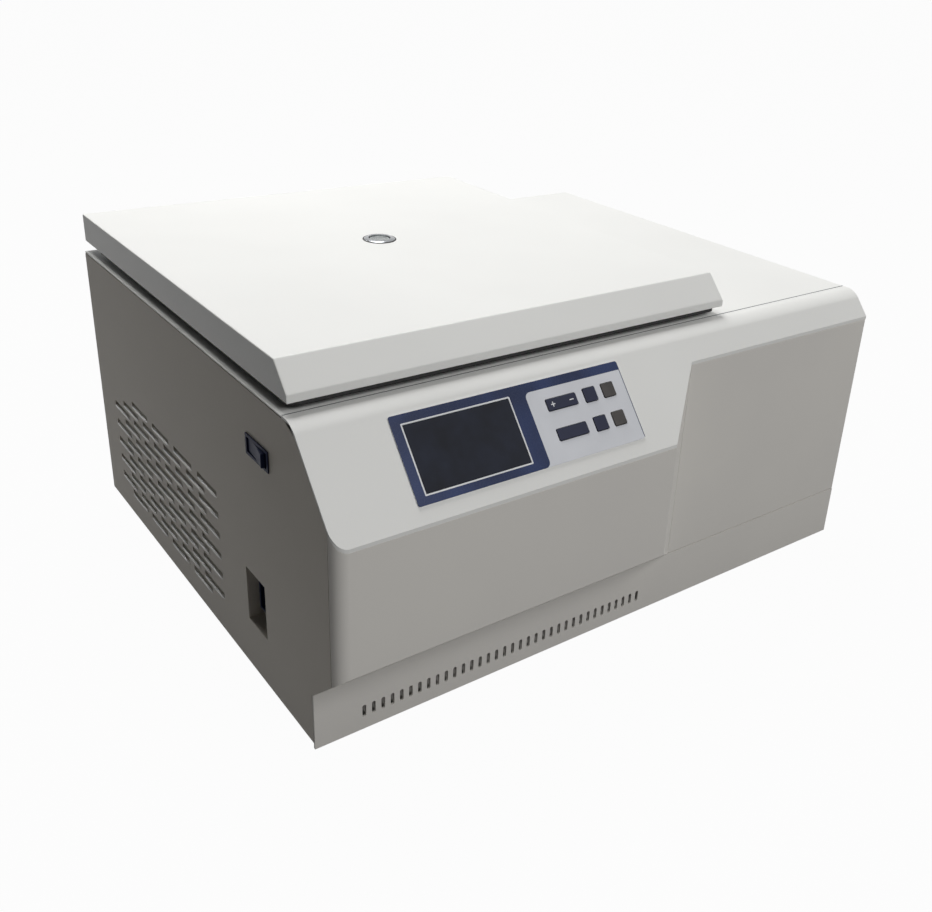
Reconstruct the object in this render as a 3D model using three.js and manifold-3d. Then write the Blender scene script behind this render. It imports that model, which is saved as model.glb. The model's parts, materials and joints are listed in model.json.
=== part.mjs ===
// Refrigerated bench centrifuge with a swing-out rotor, as an assembly of separate pieces.
// Millimetres, +Z up, front towards -Y, origin under the middle of the bounding box.

import * as THREE from 'three';
import { mergeVertices } from 'three/addons/utils/BufferGeometryUtils.js';
import Module from 'manifold-3d';

// Driving dimensions of the cabinet.
// Inside this file X runs from the left side, Y from the skirt's face and Z from the skirt's foot.
const bodyHeight = 273;
const bowlRadius = 168;
const chamberMargin = 52;
const chamberFront = 113.6;
const chamberRear = 36.4;
const lidSide = 48;
const condenserWidth = 140;
const coolerMargin = 22;
const coolerWidth = condenserWidth + coolerMargin * 2;
const axisX = chamberMargin + bowlRadius;
const axisY = chamberFront + bowlRadius;
const lidRight = axisX + bowlRadius + lidSide;
const bodyWidth = lidRight + coolerWidth;
const bodyDepth = axisY + bowlRadius + chamberRear;
const wall = 2;
const clearance = 0.3;
const overrun = 5;
const weld = 0.0001;
const slotEndShare = 0.3;
const arcShare = 0.29;
const footHeight = 16;
const footRadius = 18;
const footInset = 60;
const footDish = 2;
const sideFoot = 5;

// Console: a nose ahead of the skirt, with a chin under it and a sloped control panel over it
const skirtHeight = 52.5;
const skirtReturn = 32;
const noseReach = 42;
const noseWidth = 320;
const cheekWidth = 51.5;
const noseCorner = 11;
const chinRise = 38.5;
const slopeRise = 72;
const creaseSetback = 19;
const seamSetback = 33.5;

// Row of round-ended air slots in the skirt
const slotCount = 35;
const slotPitch = 8.6;
const slotStart = 43.4;
const slotLevel = 17.7;
const slotHeight = 11.5;
const slotWidth = 3.4;

// Louvres of the side panels: alternate rows stand half a pitch apart
const louvreRows = 12;
const louvreRowPitch = 10.15;
const louvreBase = 33;
const louvreGap = 5.5;
const louvreDepth = 5;
const louvreSheet = 1.2;
const louvreStart = 171;
const louvreColumns = 5;
const louvreTail = 32.5;
const louvreWeb = 12.8;
const louvrePitch = (bodyDepth - louvreStart - louvreTail) / louvreColumns;
const louvreLength = louvrePitch - louvreWeb;

// Lid and its hinge
const lidInset = 3;
const lidFront = 30.4;
const lidGap = 8.8;
const lidHeight = 27.4;
const lidLip = 6.4;
const lidBevel = 19.3;
const lidOverhang = 5;
const hingeInset = 4;
const hingeRadius = 3.2;
const hingePin = 1.5;
const hingeLength = 320;
const hingeKnuckles = 5;
const leafReach = 16;
const leafThick = 1.5;

// Rotor axis, chamber and its insulation
const bowlFloor = 97.5;
const bowlSheet = 1.5;
const bowlFillet = 12;
const bowlRim = 12;
const hubHole = 24;
const hubLip = 6.5;
const coilRadius = 4;
const coilTurns = 4;
const coilSteps = 20;
const coilBase = 118;
const coilDrop = 35;
const coilPitch = (bodyHeight - coilDrop - coilBase) / coilTurns;
const foamWall = 20;
const sealHeight = 6.4;
const sealWidth = 11;

// Swing-out rotor
const pivotRadius = 85;
const pivotLevel = 195;
const bucketRadius = 32;
const bucketWall = 2.5;
const bucketDrop = 74;
const bucketRise = 13;
const bucketFloor = 5;
const earWidth = 18;
const earThick = 5;
const earHeight = 20;
const trunnionRadius = 4;
const trunnionGap = 0.4;
const yokeHeight = 16;
const yokeArm = 12;
const yokeHub = 22;
const shaftRadius = 6;
const nutRadius = 15;
const nutHeight = 14;

// Drive motor on its rubber mounts
const mountHeight = 20;
const mountWidth = 20;
const mountSpread = 62;
const plateSide = 154;
const plateThick = 4;
const motorRadius = 50;
const motorHeight = 50;
const motorBoss = 19;
const bossHeight = 22;

// Cooling side, behind the right panel
const bulkheadSetback = 6;
const compressorRadius = 56;
const compressorHeight = 118;
const coolerX = bodyWidth - wall - coolerMargin - condenserWidth / 2;
const compressorX = coolerX;
const compressorSetback = 271;
const compressorY = bodyDepth - compressorSetback;
const condenserHeight = 150;
const condenserDepth = 34;
const condenserX = coolerX;
const condenserGap = 6;
const finCount = 8;
const finThick = 1.2;
const tubeRadius = 4;
const fanMargin = 8;
const fanRadius = condenserWidth / 2 - fanMargin;
const fanHub = 20;
const fanBlades = 5;
const fanDepth = 16;
const shroudDepth = 30;
const drierRadius = 11;
const drierHeight = 90;

// Control panel inlay, up the slope from its foot and across from the nose's right end
const inlayMargin = 30.4;
const inlayWidth = 219.1;
const inlayLeft = noseWidth - inlayMargin - inlayWidth;
const inlayFoot = 13.2;
const inlayHeight = 68.9;
const inlayThick = 0.6;
const inlayCorner = 2;
const screenInset = 9.5;
const screenLeft = inlayLeft + screenInset;
const screenWidth = 94.4;
const screenFoot = 21;
const screenHeight = 52.5;
const screenDepth = 4;
const keyLift = 0.8;
const keyTravel = 0.8;
const keyDepth = 3.8;
const keyFlange = 1.5;
const wideKeyWidth = 30;
const wideKeyHeight = 9.6;
const squareKeyWidth = 12.6;
const squareKeyHeight = 11.8;
const wideKeyInset = 136.4;
const wideKeyLeft = inlayLeft + wideKeyInset;
const middleKeyInset = 174.5;
const middleKeyLeft = inlayLeft + middleKeyInset;
const rightKeyInset = 193.9;
const rightKeyLeft = inlayLeft + rightKeyInset;
const upperKeyLevel = 60.2;
const lowerKeyLevel = 35.2;
const boardDrop = 9;
const boardThick = 1.6;

// Mains switch and power inlet on the left side
const switchFront = 58.7;
const switchLength = 39.7;
const switchDrop = 57;
const switchFoot = bodyHeight - switchDrop;
const switchHeight = 17.7;
const switchFlange = 1.1;
const switchRim = 2.1;
const switchDepth = 24;
const switchTilt = 8;
const pocketFront = 81;
const pocketLength = 36;
const pocketFoot = 52.7;
const pocketHeight = 51.3;
const pocketDepth = 20;
const inletLength = 20;
const inletHeight = 27;
const inletProud = 12;
const inletSocket = 14;

// Lid lock
const strikerThick = 3;
const strikerWidth = 16;
const strikerDrop = 36;
const strikerSetback = 15.6;
const boltRadius = 3.4;
const boltStroke = 14;
const boltLength = 56;
const boltDrop = 20;
const lockHeight = 34;
const lockWall = 5;

// Sight glass
const glassRadius = 10.2;
const glassThick = 3;
const ringRadius = 15;
const ringRise = 1.5;
const ringWall = 1.5;

// Finishes
const finish = (color, roughness, metalness) =>
  new THREE.MeshStandardMaterial({ color, roughness, metalness });
const whitePaint = finish(0xf1f1ee, 0.45, 0.1);
const greyPaint = finish(0xdedcd6, 0.5, 0.1);
const steel = finish(0xb9bcc0, 0.35, 0.9);
const zincSteel = finish(0x9da1a3, 0.45, 0.8);
const chromium = finish(0xd8dadd, 0.12, 1);
const aluminium = finish(0xa9adb2, 0.4, 0.9);
const copper = finish(0xb87349, 0.35, 0.9);
const blackPaint = finish(0x1d1e21, 0.5, 0.2);
const blackPlastic = finish(0x202228, 0.5, 0);
const rubber = finish(0x1b1b1c, 0.85, 0);
const foam = finish(0xe4d9b8, 0.95, 0);
const clearGlass = finish(0x4b5560, 0.08, 0);
const screenGlass = finish(0x232631, 0.12, 0);
const blueFilm = finish(0x33548a, 0.4, 0);
const keyBlue = finish(0x23263a, 0.5, 0);
const keyBrown = finish(0x5b554f, 0.5, 0);
const boardGreen = finish(0x1f5a3c, 0.6, 0);

// Solids
// A closed mesh becomes a solid once its vertices are shared and its faces point out.
const wasm = await Module();
wasm.setup();

function toSolid(geometry) {
  const bare = new THREE.BufferGeometry();
  bare.setAttribute('position', geometry.getAttribute('position').clone());
  if (geometry.index) bare.setIndex(geometry.index.clone());
  const merged = mergeVertices(bare, weld);
  const points = merged.getAttribute('position').array;
  const corner = (index, out) => out.fromArray(points, index * 3);
  const [a, b, c] = [new THREE.Vector3(), new THREE.Vector3(), new THREE.Vector3()];
  const triangles = [];
  let volume = 0;
  for (let i = 0; i < merged.index.count; i += 3) {
    const [p, q, r] = [0, 1, 2].map(step => merged.index.getX(i + step));
    if (p === q || q === r || r === p) continue;
    triangles.push([p, q, r]);
    volume += corner(p, a).dot(corner(q, b).cross(corner(r, c)));
  }
  const order = volume < 0 ? ([p, q, r]) => [p, r, q] : triangle => triangle;
  const mesh = new wasm.Mesh({
    numProp: 3,
    vertProperties: new Float32Array(points),
    triVerts: new Uint32Array(triangles.flatMap(order)),
  });
  return new wasm.Manifold(mesh);
}

function toGeometry(solid) {
  const mesh = solid.getMesh();
  const geometry = new THREE.BufferGeometry();
  geometry.setAttribute('position', new THREE.BufferAttribute(new Float32Array(mesh.vertProperties), 3));
  geometry.setIndex(new THREE.BufferAttribute(new Uint32Array(mesh.triVerts), 1));
  geometry.computeVertexNormals();
  return geometry;
}

const join = (...solids) => solids.reduce((sum, next) => sum.add(next));
const cut = (solid, ...tools) => tools.reduce((rest, tool) => rest.subtract(tool), solid);
const count = (length, make) => Array.from({ length }, (_, index) => make(index));

function boxSolid(x0, x1, y0, y1, z0, z1, matrix = null) {
  const geometry = new THREE.BoxGeometry(x1 - x0, y1 - y0, z1 - z0);
  geometry.translate((x0 + x1) / 2, (y0 + y1) / 2, (z0 + z1) / 2);
  if (matrix) geometry.applyMatrix4(matrix);
  return toSolid(geometry);
}

// Extrusion of an outline along X (outline in y, z), Y (outline in x, z) or Z (outline in x, y)
const axisFrames = {
  x: new THREE.Matrix4().set(0, 0, 1, 0, 1, 0, 0, 0, 0, 1, 0, 0, 0, 0, 0, 1),
  y: new THREE.Matrix4().set(1, 0, 0, 0, 0, 0, -1, 0, 0, 1, 0, 0, 0, 0, 0, 1),
  z: new THREE.Matrix4(),
};

function prism(outline, axis, from, to, segments = 2, matrix = null) {
  const shape = Array.isArray(outline) ? polygon(outline) : outline;
  const geometry = new THREE.ExtrudeGeometry(shape, {
    depth: to - from,
    bevelEnabled: false,
    curveSegments: segments,
  });
  geometry.translate(0, 0, axis === 'y' ? -to : from);
  geometry.applyMatrix4(axisFrames[axis]);
  if (matrix) geometry.applyMatrix4(matrix);
  return toSolid(geometry);
}

function polygon(points) {
  return new THREE.Shape(points.map(([u, v]) => new THREE.Vector2(u, v)));
}

// Rectangle with rounded corners, each in a few straight steps
function roundedBox(u0, u1, v0, v1, radius, steps = 1) {
  const corners = [
    [u1 - radius, v0 + radius],
    [u1 - radius, v1 - radius],
    [u0 + radius, v1 - radius],
    [u0 + radius, v0 + radius],
  ];
  return polygon(corners.flatMap(([u, v], index) => count(steps + 1, step => {
    const angle = (index - 1 + step / steps) * Math.PI / 2;
    return [u + radius * Math.cos(angle), v + radius * Math.sin(angle)];
  })));
}

// Slot with round ends, drawn as a long octagon of the same width and length
function slotOutline(u0, u1, v0, v1) {
  const bevel = (u1 - u0) * slotEndShare;
  return polygon([
    [u0 + bevel, v0],
    [u1 - bevel, v0],
    [u1, v0 + bevel],
    [u1, v1 - bevel],
    [u1 - bevel, v1],
    [u0 + bevel, v1],
    [u0, v1 - bevel],
    [u0, v0 + bevel],
  ]);
}

function disc(u, v, radius) {
  const shape = new THREE.Shape();
  shape.absarc(u, v, radius, 0, Math.PI * 2);
  return shape;
}

// Solid of revolution about a vertical axis; the profile holds radius and height pairs
function turned(profile, x, y, segments = 32, matrix = null) {
  const points = profile.map(([radius, height]) => new THREE.Vector2(radius, height));
  const closed = points[0].x > 0 ? [...points, points[0].clone()] : points;
  const geometry = new THREE.LatheGeometry(closed, segments);
  geometry.rotateX(Math.PI / 2);
  geometry.translate(x, y, 0);
  if (matrix) geometry.applyMatrix4(matrix);
  return toSolid(geometry);
}

// Cylinder along X, Y or Z; an arc takes twice as many steps as its segments say
function rod(axis, from, to, u, v, radius, segments = 6, matrix = null) {
  return prism(disc(u, v, radius), axis, from, to, segments, matrix);
}

function tube(points, radius, steps, sides = 8) {
  const path = new THREE.CatmullRomCurve3(points.map(place => new THREE.Vector3(...place)), false, 'centripetal');
  const geometry = new THREE.ExtrudeGeometry(disc(0, 0, radius), {
    steps,
    extrudePath: path,
    bevelEnabled: false,
    curveSegments: sides / 2,
  });
  return toSolid(geometry);
}

// Moves each edge of an outline inwards by its own amount
function insetOutline(points, amounts) {
  const area = points.reduce((sum, [u, v], index) => {
    const [nextU, nextV] = points[(index + 1) % points.length];
    return sum + u * nextV - nextU * v;
  }, 0);
  const side = Math.sign(area);
  const edges = points.map(([u, v], index) => {
    const [nextU, nextV] = points[(index + 1) % points.length];
    const length = Math.hypot(nextU - u, nextV - v);
    const [du, dv] = [(nextU - u) / length, (nextV - v) / length];
    const shift = amounts[index] * side;
    return { u: u - dv * shift, v: v + du * shift, du, dv };
  });
  return edges.map((edge, index) => {
    const before = edges[(index + edges.length - 1) % edges.length];
    const turn = before.du * edge.dv - before.dv * edge.du;
    const along = ((edge.u - before.u) * edge.dv - (edge.v - before.v) * edge.du) / turn;
    return [before.u + before.du * along, before.v + before.dv * along];
  });
}

// The assembly
const centrifuge = new THREE.Group();
const rearEdge = bodyDepth + lidOverhang;

function addPart(name, solid, material) {
  const mesh = new THREE.Mesh(toGeometry(solid), material);
  mesh.name = name;
  centrifuge.add(mesh);
}

// Heights and outlines that several pieces share
const slopeFoot = bodyHeight - slopeRise;
const slopeAngle = Math.atan2(slopeRise, noseReach + creaseSetback);
const slopeAt = y => slopeFoot + (y + noseReach) * Math.tan(slopeAngle);
const chinFoot = skirtHeight + clearance;
const chinTop = chinFoot + chinRise;
const chinAt = y => chinFoot - y * chinRise / noseReach;
const rightStart = noseWidth + cheekWidth;
const deckFoot = bodyHeight - wall;
const underDeck = deckFoot - clearance;
const innerRear = bodyDepth - wall - clearance;
const deckStart = seamSetback + clearance;
const lidFoot = bodyHeight + lidGap;
const lidTop = lidFoot + lidHeight;
const panFoot = sideFoot + wall + clearance;
const panTop = panFoot + wall;
const onPan = panTop + clearance;

// A slab that takes away everything above the slope and the top, sunk by a depth below them
function topCutter(depth) {
  const start = -noseReach - overrun;
  const end = rearEdge + overrun;
  const outline = [
    [start, slopeAt(start) - depth / Math.cos(slopeAngle)],
    [creaseSetback + depth * Math.tan(slopeAngle / 2), bodyHeight - depth],
    [end, bodyHeight - depth],
    [end, bodyHeight + overrun],
    [start, bodyHeight + overrun],
  ];
  return prism(outline, 'x', -overrun, bodyWidth + overrun);
}

// Plan of the front end: round left corner, flat nose, cheek and the right block's flat face
function frontPlan(inset, width, back) {
  const cheekAngle = Math.atan2(noseReach, cheekWidth);
  const shift = inset / Math.sin(cheekAngle);
  const radius = noseCorner - inset;
  const corner = noseCorner;
  const frontLine = -noseReach + inset;
  const shape = new THREE.Shape();
  shape.moveTo(inset, back);
  shape.lineTo(inset, -noseReach + corner);
  shape.absarc(corner, -noseReach + corner, radius, Math.PI, Math.PI * 1.5, false);
  shape.lineTo(noseWidth - shift + inset * cheekWidth / noseReach, frontLine);
  shape.lineTo(rightStart - shift, 0);
  if (width > rightStart) shape.lineTo(width, 0);
  shape.lineTo(Math.max(width - shift, rightStart - shift), back);
  return shape;
}

// Sheet-metal louvre: a slot whose lower edge leans inwards as a flap, mirrored for the right side
function louvreTools(place, outward) {
  const inner = depth => outward < 0 ? depth : bodyWidth - depth;
  const [y, z] = place;
  const ends = [y, y + louvreLength];
  const half = louvreGap / 2;
  const faces = [inner(-overrun), inner(wall + overrun)].sort((p, q) => p - q);
  const slot = boxSolid(faces[0], faces[1], ends[0], ends[1], z - half, z + half);
  const flapOutline = [
    [inner(0), z - half - louvreSheet],
    [inner(0), z - half],
    [inner(louvreDepth), z + half],
    [inner(louvreDepth), z + half - louvreSheet],
    [inner(wall), z - half - louvreSheet],
  ];
  return { slot, flap: prism(flapOutline, 'y', ends[0], ends[1]) };
}

function louvrePlaces(rows) {
  const places = [];
  for (let row = 0; row < rows; row += 1) {
    const long = row % 2 === 1;
    const across = long ? louvreColumns : louvreColumns - 1;
    const first = louvreStart + (long ? 0 : louvrePitch / 2);
    for (let column = 0; column < across; column += 1) {
      if (row === rows - 1 && column === across - 1) continue;
      places.push([first + column * louvrePitch, louvreBase + row * louvreRowPitch]);
    }
  }
  return places;
}

function withLouvres(panel, rows, outward) {
  const tools = louvrePlaces(rows).map(place => louvreTools(place, outward));
  const open = cut(panel, ...tools.map(tool => tool.slot));
  return join(open, ...tools.map(tool => tool.flap));
}

// Cabinet floor, feet and skirt
const flange = 12;
const panEdge = 20;
const panVent = 60;
const panVentFront = footInset + footRadius + flange;
const panVentCount = 5;
const panVentWidth = 6;
const panVentPitch = 16;

function skirtReturns(grow) {
  const span = [wall + clearance - grow, wall * 2 + clearance + grow];
  const side = (x0, x1) => boxSolid(x0, x1, wall - grow, skirtReturn + grow, -grow, skirtHeight + grow);
  return join(side(span[0], span[1]), side(bodyWidth - span[1], bodyWidth - span[0]));
}

function frontSkirt() {
  const plate = boxSolid(0, bodyWidth, 0, wall, 0, skirtHeight);
  const slots = count(slotCount, index => {
    const middle = slotStart + index * slotPitch;
    const half = slotWidth / 2;
    const reach = slotHeight / 2;
    const outline = slotOutline(middle - half, middle + half, slotLevel - reach, slotLevel + reach);
    return prism(outline, 'y', -overrun, wall + overrun);
  });
  return join(cut(plate, ...slots), skirtReturns(0));
}

function basePan() {
  const edge = wall + clearance;
  const outer = boxSolid(edge, bodyWidth - edge, edge, innerRear, panFoot, panTop + panEdge);
  const hollow = boxSolid(edge + wall, bodyWidth - edge - wall, -overrun, innerRear - wall, panTop, bodyHeight);
  const vents = count(panVentCount, index => {
    const x = compressorX - panVentPitch * (panVentCount - 1) / 2 + index * panVentPitch;
    const half = panVentWidth / 2;
    const outline = slotOutline(x - half, x + half, panVentFront, panVentFront + panVent);
    return prism(outline, 'z', 0, panTop + overrun);
  });
  return cut(outer, hollow, skirtReturns(clearance), ...vents);
}

function foot(x, y) {
  const crown = footRadius - footDish;
  const bore = footRadius / 2;
  const profile = [
    [0, -footHeight + footDish],
    [bore, -footHeight + footDish],
    [bore, -footHeight],
    [footRadius, -footHeight],
    [crown, panFoot - clearance],
    [0, panFoot - clearance],
  ];
  return turned(profile, x, y, 14);
}

const footPlaces = {
  front_left: [footInset, footInset],
  front_right: [bodyWidth - footInset, footInset],
  rear_left: [footInset, bodyDepth - footInset],
  rear_right: [bodyWidth - footInset, bodyDepth - footInset],
};

addPart('front_skirt', frontSkirt(), greyPaint);
addPart('base_pan', basePan(), zincSteel);
Object.entries(footPlaces).forEach(([corner, [x, y]]) => {
  addPart(`foot_${corner}`, foot(x, y), rubber);
});

// Console front, control panel and the flat panel beside it
const frontOutline = [
  [seamSetback, chinFoot],
  [0, chinFoot],
  [-noseReach, chinTop],
  [-noseReach, slopeFoot],
  [creaseSetback, bodyHeight],
  [seamSetback, bodyHeight],
];
const openEdges = [-overrun, wall, wall, wall, wall, -overrun];

function consoleFront() {
  const outer = prism(frontOutline, 'x', 0, rightStart)
    .intersect(prism(frontPlan(0, rightStart, seamSetback), 'z', 0, bodyHeight + overrun, 3));
  const inner = prism(insetOutline(frontOutline, openEdges), 'x', -overrun, bodyWidth)
    .intersect(prism(frontPlan(wall, rightStart, bodyDepth), 'z', -overrun, bodyHeight + overrun, 3));
  const sideEnd = -noseReach + noseCorner;
  const sideSpace = boxSolid(-overrun, wall + clearance, sideEnd, bodyDepth, -overrun, bodyHeight + overrun);
  return cut(outer, inner, topCutter(wall + clearance), sideSpace);
}

const slopeFrame = new THREE.Matrix4().makeBasis(
  new THREE.Vector3(1, 0, 0),
  new THREE.Vector3(0, Math.cos(slopeAngle), Math.sin(slopeAngle)),
  new THREE.Vector3(0, -Math.sin(slopeAngle), Math.cos(slopeAngle)),
).setPosition(0, -noseReach, slopeFoot);

// A plate on the slope, from one depth to another, outline across and up the slope
function onSlope(left, width, foot, height, radius, from, to) {
  const outline = radius > 0
    ? roundedBox(left, left + width, foot, foot + height, radius)
    : polygon([[left, foot], [left + width, foot], [left + width, foot + height], [left, foot + height]]);
  return prism(outline, 'z', from, to, 1, slopeFrame);
}

const keyRows = { upper: upperKeyLevel, lower: lowerKeyLevel };
const keys = Object.entries(keyRows).flatMap(([row, level]) => [
  { name: `key_rocker_${row}`, left: wideKeyLeft, level, wide: true, material: keyBlue },
  { name: `key_middle_${row}`, left: middleKeyLeft, level, wide: false, material: keyBlue },
  { name: `key_right_${row}`, left: rightKeyLeft, level, wide: false, material: keyBrown },
]);

function keyPlate({ left, level, wide }, grow, from, to) {
  const width = wide ? wideKeyWidth : squareKeyWidth;
  const height = wide ? wideKeyHeight : squareKeyHeight;
  const foot = level - height / 2;
  return onSlope(left - grow, width + grow * 2, foot - grow, height + grow * 2, 1, from, to);
}

function keyCap(key) {
  const lift = inlayThick + clearance + keyLift;
  const sink = key.wide ? keyTravel : 0;
  const flangeTop = -wall - clearance - sink;
  const cap = keyPlate(key, 0, -keyDepth - sink, lift);
  return join(cap, keyPlate(key, keyFlange, -keyDepth - sink, flangeTop));
}

const keyGap = clearance + trunnionGap / 2;
const keyHoles = (from, to) => keys.map(key => keyPlate(key, keyGap, from, to));
const screenHole = (from, to) => onSlope(
  screenLeft - clearance,
  screenWidth + clearance * 2,
  screenFoot - clearance,
  screenHeight + clearance * 2,
  0,
  from,
  to,
);

const boardPost = 3;
const boardInset = 3;
const boardPosts = [inlayLeft + boardInset, inlayLeft + inlayWidth - boardInset]
  .flatMap(x => [inlayFoot + boardInset, inlayFoot + inlayHeight - boardInset].map(v => [x, v]));

function controlPanel() {
  const profile = [
    [-noseReach, chinFoot],
    [-noseReach, slopeFoot],
    [creaseSetback, bodyHeight],
    [seamSetback, bodyHeight],
    [seamSetback, chinFoot],
  ];
  const block = prism(profile, 'x', 0, bodyWidth)
    .intersect(prism(frontPlan(0, bodyWidth, seamSetback), 'z', 0, bodyHeight + overrun, 3));
  const panel = block.intersect(topCutter(wall));
  const posts = boardPosts.map(([x, v]) =>
    rod('z', -boardDrop + clearance, -wall / 2, x, v, boardPost, 4, slopeFrame));
  return cut(join(panel, ...posts), screenHole(-overrun, overrun), ...keyHoles(-overrun, overrun));
}

function rightFrontPanel() {
  const plate = boxSolid(rightStart + clearance, bodyWidth, 0, wall, chinFoot, bodyHeight);
  const lip = boxSolid(rightStart + clearance, bodyWidth - wall - clearance, wall, flange, chinFoot, chinFoot + wall);
  return cut(join(plate, lip), topCutter(wall + clearance));
}

addPart('console_front', consoleFront(), greyPaint);
addPart('control_panel', controlPanel(), whitePaint);
addPart('right_front_panel', rightFrontPanel(), greyPaint);

// Inlay film, screen, keys and the board behind them
const inlaySeat = clearance;
const inlayTop = inlaySeat + inlayThick;
const inlay = onSlope(inlayLeft, inlayWidth, inlayFoot, inlayHeight, inlayCorner, inlaySeat, inlayTop);
addPart('panel_inlay', cut(inlay, screenHole(-overrun, overrun), ...keyHoles(-overrun, overrun)), blueFilm);
addPart(
  'screen',
  onSlope(screenLeft, screenWidth, screenFoot, screenHeight, 0, -screenDepth, inlayTop),
  screenGlass,
);
keys.forEach(key => addPart(key.name, keyCap(key), key.material));

function controlBoard() {
  const top = -boardDrop;
  const plate = onSlope(inlayLeft, inlayWidth, inlayFoot, inlayHeight, 0, top - boardThick, top);
  const stand = screenWidth / 3;
  const lift = -screenDepth - clearance;
  const riser = onSlope(screenLeft + stand, stand, screenFoot + boardInset, screenHeight / 2, 0, top - boardThick / 2, lift);
  const domes = keys.map(key => {
    const width = key.wide ? wideKeyWidth : squareKeyWidth;
    const middle = key.left + width / 2;
    const head = -keyDepth - keyTravel - clearance - (key.wide ? keyTravel * 2 : 0);
    return rod('z', top - boardThick / 2, head, middle, key.level, boardPost, 4, slopeFrame);
  });
  return join(plate, riser, ...domes);
}
addPart('control_board', controlBoard(), boardGreen);

// Side panels, rear panel, deck, right top cover and the bulkhead between the two halves
const inletMiddle = pocketFront + pocketLength - inletLength / 2 - overrun;
const inletLevel = pocketFoot + pocketHeight / 2 - wall / 2;
const inletFace = pocketDepth - inletProud;

function inletBlock(grow, from, to) {
  return boxSolid(
    from,
    to,
    inletMiddle - inletLength / 2 - grow,
    inletMiddle + inletLength / 2 + grow,
    inletLevel - inletHeight / 2 - grow,
    inletLevel + inletHeight / 2 + grow,
  );
}

function pocketBlock(inset, depth) {
  return boxSolid(
    inset > 0 ? -overrun : 0,
    depth,
    pocketFront - wall + inset,
    pocketFront + pocketLength + wall - inset,
    pocketFoot - wall + inset,
    pocketFoot + pocketHeight + wall - inset,
  );
}

function leftPanel() {
  const frontLine = -noseReach + noseCorner + clearance;
  const outline = [
    [wall + clearance, sideFoot],
    [wall + clearance, chinFoot],
    [0, chinFoot],
    [frontLine, chinAt(frontLine)],
    [frontLine, bodyHeight],
    [innerRear, bodyHeight],
    [innerRear, sideFoot],
  ];
  const plate = cut(prism(outline, 'x', 0, wall), topCutter(wall + clearance));
  const lip = boxSolid(0, flange, skirtReturn + clearance, innerRear, sideFoot, sideFoot + wall);
  const rim = switchRim / 2;
  const switchHole = boxSolid(
    -overrun,
    flange,
    switchFront + rim,
    switchFront + switchLength - rim,
    switchFoot + rim,
    switchFoot + switchHeight - rim,
  );
  const drawn = join(withLouvres(join(plate, lip), louvreRows, -1), pocketBlock(0, pocketDepth + wall));
  return cut(drawn, switchHole, pocketBlock(wall, pocketDepth), inletBlock(clearance, 0, pocketDepth + overrun));
}

function rightPanel() {
  const edge = wall + clearance;
  const plate = boxSolid(bodyWidth - wall, bodyWidth, edge, innerRear, sideFoot, bodyHeight);
  const lip = boxSolid(bodyWidth - flange, bodyWidth, skirtReturn + clearance, innerRear, sideFoot, sideFoot + wall);
  return withLouvres(cut(join(plate, lip), topCutter(wall + clearance)), louvreRows / 2, 1);
}

const grilleRows = 2;
const grilleColumns = 12;
const grillePitch = 11;
const grilleWidth = 5;
const grilleSlot = 66;
const grilleGap = 12;
const condenserMiddle = onPan + condenserHeight / 2;
function rearPanel() {
  const plate = boxSolid(0, bodyWidth, bodyDepth - wall, bodyDepth, sideFoot, underDeck);
  const first = condenserX - grillePitch * (grilleColumns - 1) / 2;
  const lowest = condenserMiddle - (grilleSlot * grilleRows + grilleGap * (grilleRows - 1)) / 2;
  const slots = count(grilleRows * grilleColumns, index => {
    const x = first + (index % grilleColumns) * grillePitch;
    const foot = lowest + Math.floor(index / grilleColumns) * (grilleSlot + grilleGap);
    const half = grilleWidth / 2;
    const outline = slotOutline(x - half, x + half, foot, foot + grilleSlot);
    return prism(outline, 'y', bodyDepth - wall - overrun, bodyDepth + overrun);
  });
  return cut(plate, ...slots);
}

const bowlOuter = bowlRadius + bowlSheet;
const strikerFront = lidFront + strikerSetback;
const strikerMiddle = strikerFront + strikerWidth / 2;
const strikerPlay = 4;

function strikerHole(from, to) {
  const half = strikerThick / 2 + strikerPlay / 2;
  return boxSolid(
    axisX - half,
    axisX + half,
    strikerFront - strikerPlay,
    strikerFront + strikerWidth + strikerPlay,
    from,
    to,
  );
}

function deck() {
  const plate = boxSolid(0, lidRight - clearance, deckStart, bodyDepth, deckFoot, bodyHeight);
  const mouth = rod('z', deckFoot - overrun, bodyHeight + overrun, axisX, axisY, bowlOuter + clearance, 32);
  return cut(plate, mouth, strikerHole(deckFoot - overrun, bodyHeight + overrun));
}

const coverHem = 8;
function rightTopCover() {
  const plate = boxSolid(lidRight, bodyWidth, deckStart, bodyDepth, deckFoot, bodyHeight);
  const hem = boxSolid(
    lidRight,
    lidRight + wall,
    deckStart,
    innerRear,
    deckFoot - coverHem,
    deckFoot + wall / 2,
  );
  return join(plate, hem);
}

const bulkheadX = lidRight - bulkheadSetback - wall;
const pipeHole = 8;
const pipeRadius = 3;
const coilMiddle = (bowlOuter + clearance + coilRadius) / Math.cos(Math.PI / coilSteps);
const coilOuter = coilMiddle + coilRadius;
const coilTop = coilBase + coilTurns * coilPitch;
const coilLevels = [coilBase, coilTop];

function bulkhead() {
  const back = innerRear - wall - clearance;
  const plate = boxSolid(bulkheadX, bulkheadX + wall, deckStart, back, onPan, underDeck);
  const lip = boxSolid(bulkheadX, bulkheadX + flange, deckStart, innerRear - coverHem, onPan, onPan + wall);
  const holes = coilLevels.map(level =>
    rod('x', bulkheadX - overrun, bulkheadX + wall + overrun, axisY, level, pipeHole, 6));
  return cut(join(plate, lip), ...holes);
}

addPart('left_side_panel', leftPanel(), greyPaint);
addPart('right_side_panel', rightPanel(), greyPaint);
addPart('rear_panel', rearPanel(), greyPaint);
addPart('deck', deck(), whitePaint);
addPart('right_top_cover', rightTopCover(), whitePaint);
addPart('bulkhead', bulkhead(), zincSteel);

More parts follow.
